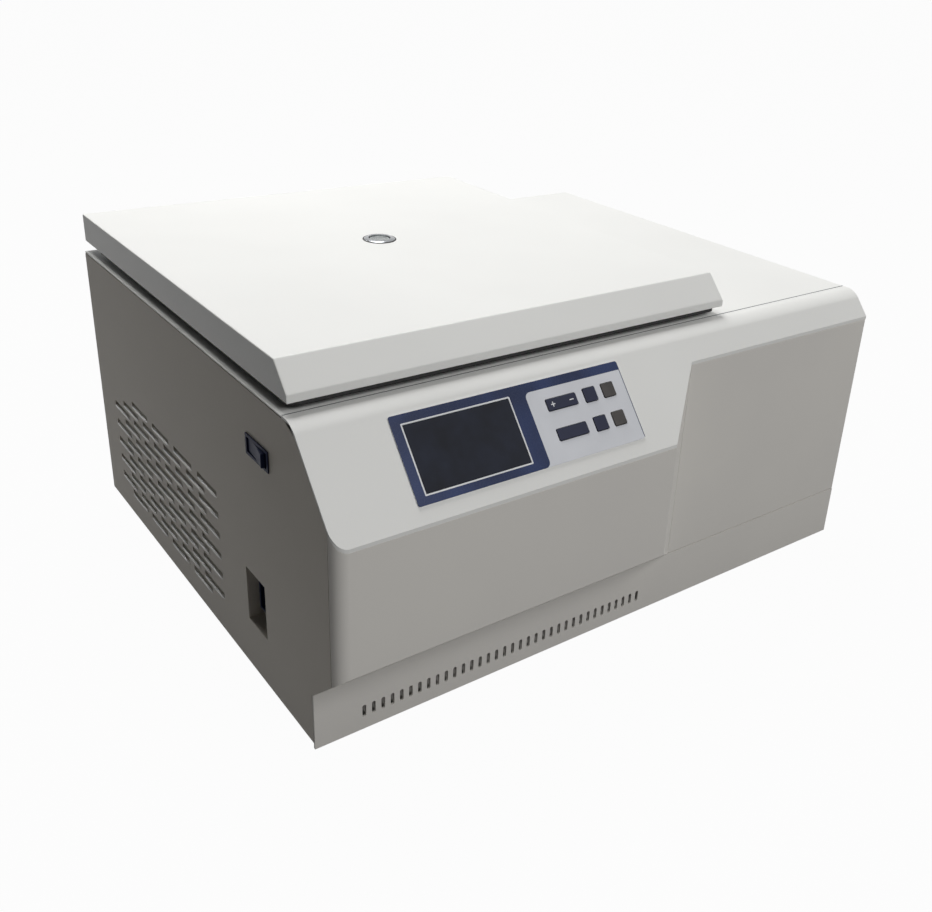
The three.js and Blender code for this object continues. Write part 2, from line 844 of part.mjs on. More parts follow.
// Lid: bent shell, foam core, inner panel, sight glass and the striker of its lock
const lidOutline = [
  [lidFront, lidFoot],
  [lidFront, lidFoot + lidLip],
  [lidFront + lidBevel, lidTop],
  [rearEdge, lidTop],
  [rearEdge, lidFoot],
];
const lidEdges = depth => [depth, depth, depth, depth, -overrun];
const linerTop = lidFoot + wall;
const sleeveRadius = glassRadius + clearance + ringWall;
const glassHole = grow => rod('z', lidFoot - overrun, lidTop + overrun, axisX, axisY, sleeveRadius + grow, 12);

function lidShell() {
  const outer = prism(lidOutline, 'x', lidInset, lidRight);
  const inner = prism(insetOutline(lidOutline, lidEdges(wall)), 'x', lidInset + wall, lidRight - wall);
  return cut(outer, inner, glassHole(clearance));
}

function lidCore(from, to, depth) {
  const outline = insetOutline(lidOutline, lidEdges(depth));
  const block = prism(outline, 'x', lidInset + depth, lidRight - depth);
  const slab = boxSolid(0, bodyWidth, 0, rearEdge + overrun, from, to);
  return cut(block.intersect(slab), glassHole(clearance));
}

function sightRing() {
  const inner = glassRadius + clearance;
  const ledge = lidTop + clearance - glassThick;
  const profile = [
    [inner - ringWall, ledge - ringWall],
    [inner, ledge - ringWall - overrun],
    [inner, lidFoot],
    [sleeveRadius, lidFoot],
    [sleeveRadius, lidTop + clearance],
    [ringRadius, lidTop + clearance],
    [ringRadius, lidTop + ringRise / 2],
    [ringRadius - ringWall / 2, lidTop + ringRise],
    [inner, lidTop + ringRise],
    [inner, ledge],
    [inner - ringWall, ledge],
  ];
  return turned(profile, axisX, axisY, 20);
}

function striker() {
  const half = strikerThick / 2;
  const top = lidFoot - clearance;
  const foot = lidFoot - strikerDrop;
  const blade = prism([
    [strikerFront, top],
    [strikerFront, foot + strikerWidth / 4],
    [strikerFront + strikerWidth / 4, foot],
    [strikerFront + strikerWidth * 0.75, foot],
    [strikerFront + strikerWidth, foot + strikerWidth / 4],
    [strikerFront + strikerWidth, top],
  ], 'x', axisX - half, axisX + half);
  const tab = boxSolid(
    axisX - strikerWidth,
    axisX + strikerWidth,
    strikerFront,
    strikerFront + strikerWidth,
    top - leafThick,
    top,
  );
  const grip = boltRadius + strikerPlay / 4;
  const eye = prism(roundedBox(
    strikerMiddle - grip,
    strikerMiddle + grip,
    boltLevel - grip,
    boltLevel + grip,
    strikerPlay / 4,
  ), 'x', axisX - overrun, axisX + overrun);
  return cut(join(blade, tab), eye);
}
const boltLevel = bodyHeight - boltDrop;

addPart('lid_shell', lidShell(), whitePaint);
addPart('lid_foam', lidCore(linerTop + clearance, lidTop, wall + clearance), foam);
addPart('lid_liner', lidCore(lidFoot, linerTop, wall + clearance), steel);
addPart('sight_ring', sightRing(), chromium);
const glassTop = lidTop + clearance * 2;
addPart(
  'sight_glass',
  rod('z', glassTop - glassThick + clearance, glassTop + clearance, axisX, axisY, glassRadius, 12),
  clearGlass,
);
addPart('lid_striker', striker(), zincSteel);

// Lid hinge: a long butt hinge in the gap between deck and lid, its pin fixed in the deck leaf
const hingeY = bodyDepth - hingeInset;
const hingeZ = bodyHeight + clearance * 2 + hingeRadius;
const hingeStart = axisX - hingeLength / 2;

function hingeLeaf(foot, first) {
  const pitch = hingeLength / hingeKnuckles;
  const back = hingeY - hingeRadius - clearance;
  const leaf = boxSolid(hingeStart, hingeStart + hingeLength, hingeY - leafReach, back, foot, foot + leafThick);
  const [low, high] = [Math.min(foot, hingeZ), Math.max(foot + leafThick, hingeZ)];
  const knuckles = [];
  for (let index = first; index < hingeKnuckles; index += 2) {
    const from = hingeStart + index * pitch + clearance;
    const to = hingeStart + (index + 1) * pitch - clearance;
    knuckles.push(
      rod('x', from, to, hingeY, hingeZ, hingeRadius, 4),
      boxSolid(from, to, back - leafThick, hingeY, foot, foot + leafThick),
      boxSolid(from, to, hingeY - hingeRadius, hingeY, low, high),
    );
  }
  return join(leaf, ...knuckles);
}

function hingeRod(radius) {
  return rod('x', hingeStart + clearance, hingeStart + hingeLength - clearance, hingeY, hingeZ, radius, 4);
}

addPart('hinge_leaf_deck', join(hingeLeaf(bodyHeight + clearance, 0), hingeRod(hingePin)), steel);
addPart('hinge_leaf_lid', cut(hingeLeaf(lidFoot - clearance - leafThick, 1), hingeRod(hingePin + clearance)), steel);

// Chamber: stainless bowl, evaporator coil round it, foam jacket, lid seal and shaft seal
const bowlTop = bodyHeight + clearance;

function bowl() {
  const foot = bowlFloor - bowlSheet;
  const inner = bowlRadius - bowlFillet;
  const profile = [
    [hubHole, foot],
    [bowlOuter - bowlFillet, foot],
    [bowlOuter - bowlFillet * arcShare, foot + bowlFillet * arcShare],
    [bowlOuter, foot + bowlFillet],
    [bowlOuter, bowlTop],
    [bowlOuter + bowlRim, bowlTop],
    [bowlOuter + bowlRim, bowlTop + bowlSheet],
    [bowlRadius, bowlTop + bowlSheet],
    [bowlRadius, bowlFloor + bowlFillet],
    [bowlRadius - bowlFillet * arcShare, bowlFloor + bowlFillet * arcShare],
    [inner, bowlFloor],
    [hubHole + bowlSheet, bowlFloor],
    [hubHole + bowlSheet, bowlFloor + hubLip],
    [hubHole, bowlFloor + hubLip],
  ];
  return turned(profile, axisX, axisY, 36);
}

function lidSeal() {
  const foot = bowlTop + bowlSheet + clearance;
  const top = foot + sealHeight;
  const middle = bowlOuter + sealWidth / 2;
  const profile = [
    [bowlOuter, foot],
    [bowlOuter + sealWidth, foot],
    [bowlOuter + sealWidth, foot + sealHeight / 3],
    [middle + sealWidth / 5, top],
    [middle - sealWidth / 5, top],
    [bowlOuter, foot + sealHeight / 3],
  ];
  return turned(profile, axisX, axisY, 32);
}

const motorFoot = onPan + mountHeight + plateThick + clearance * 2;
const motorTop = motorFoot + motorHeight;
const bossTop = motorTop + bossHeight;

function shaftSeal() {
  const foot = bowlFloor - bowlSheet;
  const outer = hubHole - clearance;
  const profile = [
    [motorBoss + clearance, foot],
    [outer, foot],
    [outer, bowlFloor + hubLip],
    [motorBoss + clearance, bowlFloor + hubLip - clearance],
  ];
  return turned(profile, axisX, axisY, 24);
}

class CoilPath extends THREE.Curve {
  getPoint(share, target = new THREE.Vector3()) {
    const turn = share * coilTurns * Math.PI * 2;
    return target.set(
      axisX + coilMiddle * Math.cos(turn),
      axisY + coilMiddle * Math.sin(turn),
      coilBase + share * coilTurns * coilPitch,
    );
  }
}

const coilSides = 5;
function evaporatorCoil() {
  const section = count(coilSides, side => {
    const angle = side * Math.PI * 2 / coilSides;
    return [coilRadius * Math.cos(angle), coilRadius * Math.sin(angle)];
  });
  const geometry = new THREE.ExtrudeGeometry(polygon(section), {
    steps: coilSteps * coilTurns,
    extrudePath: new CoilPath(),
    bevelEnabled: false,
  });
  return toSolid(geometry);
}

const foamSides = 32;
const foamInner = (coilOuter + clearance) / Math.cos(Math.PI / foamSides);
const foamOuter = foamInner + foamWall;
const foamTop = bowlFloor - bowlSheet - clearance;
const motorRoom = 4;

function foamJacket() {
  const profile = [
    [motorRadius + motorRoom, foamTop - foamWall],
    [foamOuter, foamTop - foamWall],
    [foamOuter, underDeck],
    [foamInner, underDeck],
    [foamInner, foamTop],
    [motorRadius + motorRoom, foamTop],
  ];
  const jacket = turned(profile, axisX, axisY, foamSides);
  const channels = coilLevels.map(level =>
    rod('x', axisX + foamInner - foamWall / 2, axisX + foamOuter + overrun, axisY, level, pipeHole, 6));
  return cut(jacket, ...channels);
}

addPart('chamber_bowl', bowl(), steel);
addPart('lid_seal', lidSeal(), rubber);
addPart('shaft_seal', shaftSeal(), rubber);
addPart('evaporator_coil', evaporatorCoil(), copper);
addPart('foam_jacket', foamJacket(), foam);

// Rotor: yoke with four pairs of trunnions, hanging buckets, shaft and cap nut
const quarterTurns = 4;
const aboutAxis = turn => new THREE.Matrix4()
  .makeTranslation(axisX, axisY, 0)
  .multiply(new THREE.Matrix4().makeRotationZ(turn * Math.PI * 2 / quarterTurns));
const earFace = bucketRadius + earThick;
const armFace = earFace + trunnionRadius / 4;
const armReach = pivotRadius + yokeArm / 2;
const armInner = pivotRadius - yokeArm / 2;
const yokeFoot = pivotLevel - yokeHeight / 2;
const yokeTop = pivotLevel + yokeHeight / 2;
const hubFoot = yokeFoot - yokeHub;
const shoulderRadius = shaftRadius + trunnionRadius;

function yoke() {
  const fork = [
    [armInner, armFace],
    [armReach, armFace],
    [armReach, armFace + yokeArm],
    [armFace + yokeArm, armReach],
    [armFace, armReach],
    [armFace, armInner],
  ];
  const half = yokeArm / 2;
  const forkMiddle = (armFace + armInner) / 2;
  const armLength = Math.hypot(forkMiddle, forkMiddle) + half;
  const quarters = count(quarterTurns, turn => {
    const place = aboutAxis(turn);
    const head = prism(fork, 'z', yokeFoot, yokeTop, 1, place);
    const arm = boxSolid(0, armLength, -half, half, yokeFoot, yokeTop, aboutAxis(turn + 0.5));
    const stub = [armFace + half, bucketRadius + clearance * 3];
    const trunnions = [-1, 1].map(side => {
      const ends = stub.map(reach => reach * side).sort((p, q) => p - q);
      return rod('y', ends[0], ends[1], pivotRadius, pivotLevel, trunnionRadius, 4, place);
    });
    return join(head, arm, ...trunnions);
  });
  const hub = turned([
    [0, hubFoot],
    [yokeHub * 0.7, hubFoot],
    [yokeHub, yokeFoot],
    [yokeHub, yokeTop],
    [yokeHub * 0.8, yokeTop + trunnionRadius],
    [0, yokeTop + trunnionRadius],
  ], axisX, axisY, 24);
  const bore = rod('z', hubFoot - overrun, yokeTop + overrun, axisX, axisY, shaftRadius + clearance, 12);
  return cut(join(hub, ...quarters), bore);
}

function bucket(turn) {
  const place = aboutAxis(turn).multiply(new THREE.Matrix4().makeTranslation(pivotRadius, 0, 0));
  const foot = pivotLevel - bucketDrop;
  const top = pivotLevel + bucketRise;
  const inner = bucketRadius - bucketWall;
  const round = bucketFloor * 1.6;
  const profile = [
    [0, foot],
    [bucketRadius - round, foot],
    [bucketRadius - round * arcShare, foot + round * arcShare],
    [bucketRadius, foot + round],
    [bucketRadius, top],
    [inner, top],
    [inner, foot + round],
    [inner - bucketFloor / 2, foot + bucketFloor],
    [0, foot + bucketFloor],
  ];
  const cup = turned(profile, 0, 0, 22, place);
  const ears = [-1, 1].map(side => {
    const ends = [bucketRadius - bucketWall / 2, earFace].map(reach => reach * side).sort((p, q) => p - q);
    const outline = roundedBox(
      -earWidth / 2,
      earWidth / 2,
      pivotLevel - earHeight * 0.4,
      pivotLevel + earHeight * 0.6,
      earWidth / 4,
    );
    const ear = prism(outline, 'y', ends[0], ends[1], 1, place);
    const hole = [bucketRadius + clearance * 2, earFace + overrun].map(reach => reach * side);
    hole.sort((p, q) => p - q);
    return cut(ear, rod('y', hole[0], hole[1], 0, pivotLevel, trunnionRadius + trunnionGap, 4, place));
  });
  const inside = turned([
    [0, foot + bucketFloor + overrun],
    [inner - bucketWall / 4, foot + bucketFloor + overrun],
    [inner - bucketWall / 4, top + overrun],
    [0, top + overrun],
  ], 0, 0, 22, place);
  return join(cup, ...ears.map(ear => cut(ear, inside)));
}

const shaftFoot = motorFoot + trunnionRadius;
const nutFoot = yokeTop + trunnionRadius + clearance;
const shaftTop = nutFoot + nutHeight / 2;

function shaft() {
  const neck = bossTop + trunnionRadius;
  return turned([
    [0, shaftFoot],
    [shaftRadius, shaftFoot],
    [shaftRadius, neck],
    [shoulderRadius, neck + trunnionRadius],
    [shoulderRadius, hubFoot - clearance],
    [shaftRadius, hubFoot - clearance],
    [shaftRadius, shaftTop],
    [0, shaftTop],
  ], axisX, axisY, 24);
}

function nut() {
  const bore = shaftRadius + clearance;
  return turned([
    [0, shaftTop + clearance],
    [bore, shaftTop + clearance],
    [bore, nutFoot],
    [nutRadius, nutFoot],
    [nutRadius, nutFoot + nutHeight * 0.6],
    [nutRadius * 0.6, nutFoot + nutHeight],
    [0, nutFoot + nutHeight],
  ], axisX, axisY, 12);
}

addPart('rotor_yoke', yoke(), aluminium);
count(quarterTurns, turn => addPart(`bucket_${turn + 1}`, bucket(turn), steel));
addPart('drive_shaft', shaft(), zincSteel);
addPart('rotor_nut', nut(), zincSteel);

// Drive motor, its plate and its rubber mount
function motor() {
  const bore = shaftRadius + clearance;
  const edge = motorRadius * 0.96;
  return turned([
    [0, motorFoot],
    [edge, motorFoot],
    [motorRadius, motorFoot + motorRoom],
    [motorRadius, motorTop - motorRoom],
    [edge, motorTop],
    [motorBoss, motorTop],
    [motorBoss, bossTop],
    [bore, bossTop],
    [bore, shaftFoot - clearance],
    [0, shaftFoot - clearance],
  ], axisX, axisY, 24);
}

function motorMount() {
  const top = onPan + mountHeight;
  const outer = mountSpread + mountWidth / 2;
  const inner = mountSpread - mountWidth / 2;
  const waist = mountWidth * 0.15;
  return turned([
    [inner, onPan],
    [outer, onPan],
    [outer - waist, onPan + mountHeight / 2],
    [outer, top],
    [inner, top],
    [inner + waist, onPan + mountHeight / 2],
  ], axisX, axisY, 24);
}

function motorPlate() {
  const foot = onPan + mountHeight + clearance;
  const half = plateSide / 2;
  const outline = roundedBox(axisX - half, axisX + half, axisY - half, axisY + half, mountWidth);
  return prism(outline, 'z', foot, foot + plateThick);
}

addPart('drive_motor', motor(), blackPaint);
addPart('motor_mount', motorMount(), rubber);
addPart('motor_plate', motorPlate(), zincSteel);

// Compressor on its legs, condenser, fan, filter drier and pipes
const legHeight = 12;
const legRadius = 9;
const legSpreadX = 52;
const legSpreadY = 44;
const legPlaces = [-1, 1].flatMap(right => [-1, 1].map(back => [
  compressorX + right * legSpreadX,
  compressorY + back * legSpreadY,
]));
const compressorFoot = onPan + legHeight;
const compressorTop = compressorFoot + compressorHeight;
const spigotRadius = 5;
const spigotRise = 9;
const spigotShift = 24;
const spigotTop = compressorTop + spigotRise;

function compressor() {
  const r = compressorRadius;
  const seam = compressorFoot + compressorHeight * 0.55;
  const can = turned([
    [0, compressorFoot],
    [r * 0.85, compressorFoot],
    [r, compressorFoot + r / 4],
    [r, seam],
    [r + wall, seam],
    [r + wall, seam + wall * 2],
    [r, seam + wall * 2],
    [r * 0.94, compressorTop - r * 0.3],
    [r * 0.7, compressorTop - r * 0.08],
    [0, compressorTop],
  ], compressorX, compressorY, 20);
  const ear = legRadius + wall;
  const base = prism(roundedBox(
    compressorX - legSpreadX - ear,
    compressorX + legSpreadX + ear,
    compressorY - legSpreadY - ear,
    compressorY + legSpreadY + ear,
    ear,
  ), 'z', compressorFoot, compressorFoot + wall * 2);
  const spigots = [-1, 1].map(side =>
    rod('z', compressorTop - r / 2, spigotTop, compressorX + side * spigotShift, compressorY, spigotRadius, 4));
  const terminals = boxSolid(
    compressorX - r / 3,
    compressorX + r / 3,
    compressorY - r - flange,
    compressorY - r / 2,
    seam - r / 2,
    seam - wall,
  );
  const legs = legPlaces.map(([x, y]) => rod('z', onPan, compressorFoot + wall, x, y, legRadius, 4));
  return join(can, base, terminals, ...spigots, ...legs);
}

const condenserBack = bodyDepth - wall - condenserGap;
const condenserFront = condenserBack - condenserDepth;
const condenserLeft = condenserX - condenserWidth / 2;
const condenserRight = condenserX + condenserWidth / 2;
const condenserAxis = (condenserFront + condenserBack) / 2;
const condenserTop = onPan + condenserHeight;
const headerX = condenserLeft + flange;
const headerTop = condenserTop + flange;
const outletLevel = onPan + condenserHeight / 5;
const outletLeft = condenserLeft - flange / 2;

function condenser() {
  const pitch = (condenserWidth - finThick) / (finCount - 1);
  const fins = count(finCount, index => {
    const x = condenserLeft + index * pitch;
    const end = index === 0 || index === finCount - 1;
    const inset = end ? 0 : wall;
    return boxSolid(x, x + finThick, condenserFront + inset, condenserBack - inset, onPan + inset, condenserTop);
  });
  const levels = [0.2, 0.5, 0.8].map(share => onPan + condenserHeight * share);
  const tubes = levels.map((level, index) => {
    const start = index === 0 ? outletLeft : condenserLeft - wall;
    return rod('x', start, condenserRight + wall, condenserAxis, level, tubeRadius, 3);
  });
  const foot = boxSolid(condenserLeft, condenserRight, condenserFront, condenserBack, onPan, onPan + wall);
  const header = rod('z', condenserTop - flange * 3, headerTop, headerX, condenserAxis, spigotRadius, 4);
  return join(foot, ...fins, ...tubes, header);
}

const shroudBack = condenserFront - clearance;
const shroudFront = shroudBack - shroudDepth;
const fanBossDepth = shroudDepth * 0.5;
const fanPinEnd = shroudBack - wall;
const fanFront = shroudFront + fanBossDepth / 2 + clearance;

function fanShroud() {
  const half = condenserWidth / 2;
  const frame = boxSolid(
    condenserX - half,
    condenserX + half,
    shroudFront,
    shroudBack,
    onPan,
    condenserTop,
  );
  const room = fanRadius + wall * 1.5;
  const tunnel = rod('y', shroudFront - overrun, shroudBack + overrun, condenserX, condenserMiddle, room, 12);
  const spoke = wall * 1.5;
  const bars = [0, 1, 2].map(turn => {
    const place = new THREE.Matrix4()
      .makeTranslation(condenserX, 0, condenserMiddle)
      .multiply(new THREE.Matrix4().makeRotationY(turn * Math.PI * 2 / 3));
    return boxSolid(-spoke, spoke, shroudFront, shroudFront + wall * 2, 0, room + wall, place);
  });
  const boss = rod('y', shroudFront, shroudFront + fanBossDepth / 2, condenserX, condenserMiddle, fanHub, 8);
  const pin = rod('y', shroudFront, fanPinEnd, condenserX, condenserMiddle, tubeRadius, 4);
  return join(cut(frame, tunnel), ...bars, boss, pin);
}

function fan() {
  const hub = rod('y', fanFront, fanFront + fanDepth, condenserX, condenserMiddle, fanHub, 10);
  const bore = rod('y', fanFront - overrun, fanFront + fanDepth + overrun, condenserX, condenserMiddle,
    tubeRadius + clearance, 4);
  const pitch = Math.PI / 6;
  const chord = fanDepth * 0.8;
  const blades = count(fanBlades, index => {
    const place = new THREE.Matrix4()
      .makeTranslation(condenserX, fanFront + fanDepth / 2, condenserMiddle)
      .multiply(new THREE.Matrix4().makeRotationY(index * Math.PI * 2 / fanBlades))
      .multiply(new THREE.Matrix4().makeRotationZ(pitch));
    const outline = [
      [-chord * 0.7, fanHub * 0.8],
      [chord * 0.7, fanHub * 0.8],
      [chord, fanRadius * 0.92],
      [chord * 0.5, fanRadius],
      [-chord, fanRadius * 0.95],
    ];
    return prism(outline, 'y', -wall / 2, wall / 2, 1, place);
  });
  return cut(join(hub, ...blades), bore);
}

const drierX = bulkheadX + flange + drierRadius + wall;
const drierY = compressorY + compressorRadius * 2.4;
const drierFoot = onPan + compressorRadius;
const drierTop = drierFoot + drierHeight;

function drier() {
  const body = turned([
    [0, drierFoot],
    [pipeRadius + wall, drierFoot],
    [drierRadius, drierFoot + drierRadius],
    [drierRadius, drierTop - drierRadius],
    [pipeRadius + wall, drierTop],
    [0, drierTop],
  ], drierX, drierY, 12);
  const middle = (drierFoot + drierTop) / 2;
  const clip = boxSolid(
    bulkheadX + wall + clearance,
    drierX,
    drierY - drierRadius / 2,
    drierY + drierRadius / 2,
    middle - drierRadius / 2,
    middle + drierRadius / 2,
  );
  return join(body, clip);
}

const coilEntry = axisX + coilOuter + clearance;
const bend = pipeRadius * 6;
function suctionPipe() {
  const x = compressorX - spigotShift;
  return tube([
    [coilEntry, axisY, coilTop],
    [bulkheadX, axisY, coilTop],
    [x - bend, axisY, coilTop],
    [x, axisY - bend, coilTop - bend],
    [x, compressorY + bend / 3, coilTop - bend * 2],
    [x, compressorY, spigotTop + bend],
    [x, compressorY, spigotTop + clearance],
  ], pipeRadius, 18, 6);
}

function dischargePipe() {
  const x = compressorX + spigotShift;
  const high = Math.max(headerTop, spigotTop) + bend * 2;
  return tube([
    [x, compressorY, spigotTop + clearance],
    [x, compressorY, spigotTop + bend],
    [x, compressorY + bend, high],
    [headerX + bend, condenserFront - bend * 2, high],
    [headerX, condenserAxis - bend, high],
    [headerX, condenserAxis, headerTop + bend],
    [headerX, condenserAxis, headerTop + clearance],
  ], pipeRadius, 20, 6);
}

function liquidPipe() {
  const low = drierFoot - bend;
  const side = outletLeft - pipeRadius * 2;
  return tube([
    [outletLeft - clearance, condenserAxis, outletLevel],
    [side + pipeRadius, condenserAxis, outletLevel],
    [side, condenserAxis - pipeRadius, outletLevel],
    [side, condenserAxis - bend, outletLevel],
    [side, shroudFront - pipeRadius, outletLevel],
    [drierX - pipeRadius, drierY + bend * 2, outletLevel],
    [drierX, drierY + bend / 2, Math.min(outletLevel, low)],
    [drierX, drierY, low + bend / 2],
    [drierX, drierY, drierFoot + pipeRadius],
  ], pipeRadius, 14, 6);
}

function capillary() {
  return tube([
    [drierX, drierY, drierTop - pipeRadius],
    [drierX, drierY, drierTop + bend / 2],
    [drierX, drierY - bend, drierTop + bend],
    [drierX, axisY + bend / 2, coilBase + bend / 2],
    [drierX - bend / 2, axisY, coilBase],
    [bulkheadX, axisY, coilBase],
    [coilEntry, axisY, coilBase],
  ], pipeRadius * 0.6, 16, 6);
}

addPart('compressor', compressor(), blackPaint);
addPart('condenser', condenser(), aluminium);
addPart('fan_shroud', fanShroud(), blackPlastic);
addPart('condenser_fan', fan(), blackPlastic);
addPart('filter_drier', join(drier(), liquidPipe(), capillary()), copper);
addPart('suction_pipe', suctionPipe(), copper);
addPart('discharge_pipe', dischargePipe(), copper);

// Mains switch and power inlet
const switchWall = 1.2;
const switchMiddle = switchFront + switchLength / 2;
const switchBodyRim = switchRim / 2 + clearance;
const rockerPocket = switchDepth / 2;
const rockerAxisX = wall * 2;

function switchFrame() {
  const foot = switchFoot;
  const [front, back, top] = [switchFront, switchFront + switchLength, switchFoot + switchHeight];
  const plate = boxSolid(-clearance - switchFlange, -clearance, front, back, foot, top);
  const rim = switchBodyRim;
  const body = boxSolid(-clearance - switchFlange / 2, switchDepth, front + rim, back - rim, foot + rim, top - rim);
  const inset = rim + switchWall;
  const pocket = boxSolid(
    -overrun,
    rockerPocket,
    front + inset,
    back - inset,
    foot + inset,
    top - inset,
  );
  const tabs = [-1, 0, 1].map(place => boxSolid(
    switchDepth - wall,
    switchDepth + flange,
    switchMiddle + place * flange - wall,
    switchMiddle + place * flange + wall,
    (foot + top) / 2 - switchWall / 2,
    (foot + top) / 2 + switchWall / 2,
  ));
  return join(cut(join(plate, body), pocket), ...tabs);
}

function switchRocker() {
  const inset = switchBodyRim + switchWall + clearance;
  const half = switchLength / 2 - inset - clearance * 3;
  const crown = -clearance - switchFlange - wall / 2;
  const outline = [
    [crown, -half],
    [crown + wall / 2, 0],
    [crown, half],
    [rockerAxisX, half * 0.92],
    [rockerPocket * 0.75, half / 3],
    [rockerPocket * 0.75, -half / 3],
    [rockerAxisX, -half * 0.92],
  ].map(([x, y]) => [x - rockerAxisX, y]);
  const place = new THREE.Matrix4()
    .makeTranslation(rockerAxisX, switchMiddle, 0)
    .multiply(new THREE.Matrix4().makeRotationZ(THREE.MathUtils.degToRad(-switchTilt)));
  return prism(outline, 'z', switchFoot + inset, switchFoot + switchHeight - inset, 1, place);
}

function powerInlet() {
  const rim = wall;
  const body = inletBlock(0, inletFace, pocketDepth + inletProud);
  const socket = inletBlock(-rim, inletFace - overrun, inletFace + inletSocket);
  const collar = inletBlock(rim, pocketDepth - wall - clearance, pocketDepth - clearance);
  const blade = 1.2;
  const blades = [-1, 0, 1].map(place => {
    const y = inletMiddle + (place === 0 ? 1 : -1) * rim;
    const z = inletLevel + place * inletHeight / 4;
    return boxSolid(inletFace + rim, inletFace + inletSocket + rim, y - rim, y + rim, z - blade / 2, z + blade / 2);
  });
  return join(cut(join(body, collar), socket), ...blades);
}

addPart('switch_frame', switchFrame(), blackPlastic);
addPart('switch_rocker', switchRocker(), blackPlastic);
addPart('power_inlet', powerInlet(), blackPlastic);

// Lid lock under the deck: the bolt slides along X into the striker's eye
const lockFront = strikerFront - strikerPlay - lockWall;
const lockBack = strikerFront + strikerWidth + strikerPlay + lockWall;
const lockHalf = strikerThick / 2 + strikerPlay / 2 + lockWall * 2;
const lockFoot = underDeck - lockHeight;
const boltPlay = boltRadius + clearance;
const boltTip = axisX + strikerThick / 2 + wall;
const boltEnd = boltTip + boltLength;

function lockBody() {
  const block = boxSolid(axisX - lockHalf, axisX + lockHalf, lockFront, lockBack, lockFoot, underDeck);
  const barrel = rod(
    'x',
    axisX + lockHalf - wall,
    boltEnd + clearance + lockWall,
    strikerMiddle,
    boltLevel,
    boltRadius * 2.6,
    8,
  );
  const bore = rod('x', axisX - boltStroke, boltEnd + clearance, strikerMiddle, boltLevel, boltPlay, 6);
  const vent = rod('x', boltEnd, boltEnd + lockWall * 2, strikerMiddle, boltLevel, boltRadius / 2, 3);
  const slot = strikerHole(lockFoot + lockWall, underDeck + overrun);
  return cut(join(block, barrel), bore, vent, slot);
}

addPart('lock_body', lockBody(), zincSteel);
addPart('lock_bolt', rod('x', boltTip, boltEnd, strikerMiddle, boltLevel, boltRadius, 6), steel);

// The whole stands on the origin: its overall box is centred on X and Y and its feet are at zero
const overall = new THREE.Box3().setFromObject(centrifuge);
const middle = overall.getCenter(new THREE.Vector3());
centrifuge.children.forEach(mesh => mesh.position.set(-middle.x, -middle.y, -overall.min.z));

export default centrifuge;
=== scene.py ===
"""Dress for a refrigerated bench centrifuge: finishes, rounded folds, printed panel, screws and studio."""
import json
import math

import bmesh
import bpy
from bpy.props import FloatProperty, FloatVectorProperty, IntProperty, PointerProperty
from mathutils import Matrix, Vector


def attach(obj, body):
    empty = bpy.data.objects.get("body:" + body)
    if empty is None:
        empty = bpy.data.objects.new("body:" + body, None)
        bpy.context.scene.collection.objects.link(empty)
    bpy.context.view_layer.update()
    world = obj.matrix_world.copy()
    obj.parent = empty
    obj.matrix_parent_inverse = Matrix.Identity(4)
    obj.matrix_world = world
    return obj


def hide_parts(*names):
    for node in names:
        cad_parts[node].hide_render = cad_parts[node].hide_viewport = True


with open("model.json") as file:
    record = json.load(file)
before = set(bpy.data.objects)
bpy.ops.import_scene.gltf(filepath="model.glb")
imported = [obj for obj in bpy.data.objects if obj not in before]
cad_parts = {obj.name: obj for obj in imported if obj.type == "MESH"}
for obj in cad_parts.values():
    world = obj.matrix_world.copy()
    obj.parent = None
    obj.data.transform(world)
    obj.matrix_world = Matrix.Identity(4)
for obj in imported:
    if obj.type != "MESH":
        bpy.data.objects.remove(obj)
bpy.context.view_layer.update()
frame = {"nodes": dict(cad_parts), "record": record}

bl_info = {
    "name": "Bench Centrifuge Dress",
    "version": (1, 0, 0),
    "blender": (4, 5, 0),
    "location": "View3D > Sidebar > Centrifuge",
    "description": "Finishes, panel print, rounded folds, screws and studio for a bench centrifuge",
    "category": "Object",
}

MM = 0.001

# Points nearer to each other than this become one, in metres
WELD = 1e-6
FINE_WELD = 1e-7
BEVEL_WELD = 2e-6


def box_of(node, lay):
    """The lowest and the highest corner of a CAD node in millimetres, once a placing has moved it."""
    points = [lay @ vert.co / MM for vert in frame["nodes"][node].data.vertices]
    return [Vector([pick(point[axis] for point in points) for axis in range(3)]) for pick in (min, max)]


# The drawing's own zero is at the front left lower corner of the skirt
DRAWING_ZERO = box_of("front_skirt", Matrix.Identity(4))[0] * MM


def at(x, y, z):
    """A point of the drawing, in millimetres, as a place in the frame."""
    return DRAWING_ZERO + Vector((x, y, z)) * MM


def extent(node):
    """The lowest and the highest corner of a CAD node, in millimetres of the drawing."""
    return box_of(node, Matrix.Translation(-DRAWING_ZERO))


# Places and thicknesses that several pieces share, in millimetres of the drawing
BODY_WIDTH, BODY_DEPTH = extent("rear_panel")[1].xy
DECK_FRONT = extent("deck")[0].y
DECK_TOP = extent("deck")[1].z
SHELL_FOOT = extent("lid_shell")[0].z
SHELL_TOP = extent("lid_shell")[1].z
CHAMBER_X, CHAMBER_Y = (sum(extent("chamber_bowl"), Vector()) / 2).xy
BOWL_SHEET = 1.5
INK = 0.05

# The control panel slopes from the nose up to a crease behind the front
NOSE = extent("console_front")[0].y
SLOPE_RISE = 72.0
CREASE_SETBACK = 19.0
SLOPE_FOOT = Vector((0.0, NOSE, DECK_TOP - SLOPE_RISE))
SLOPE_ANGLE = math.atan2(SLOPE_RISE, CREASE_SETBACK - NOSE)


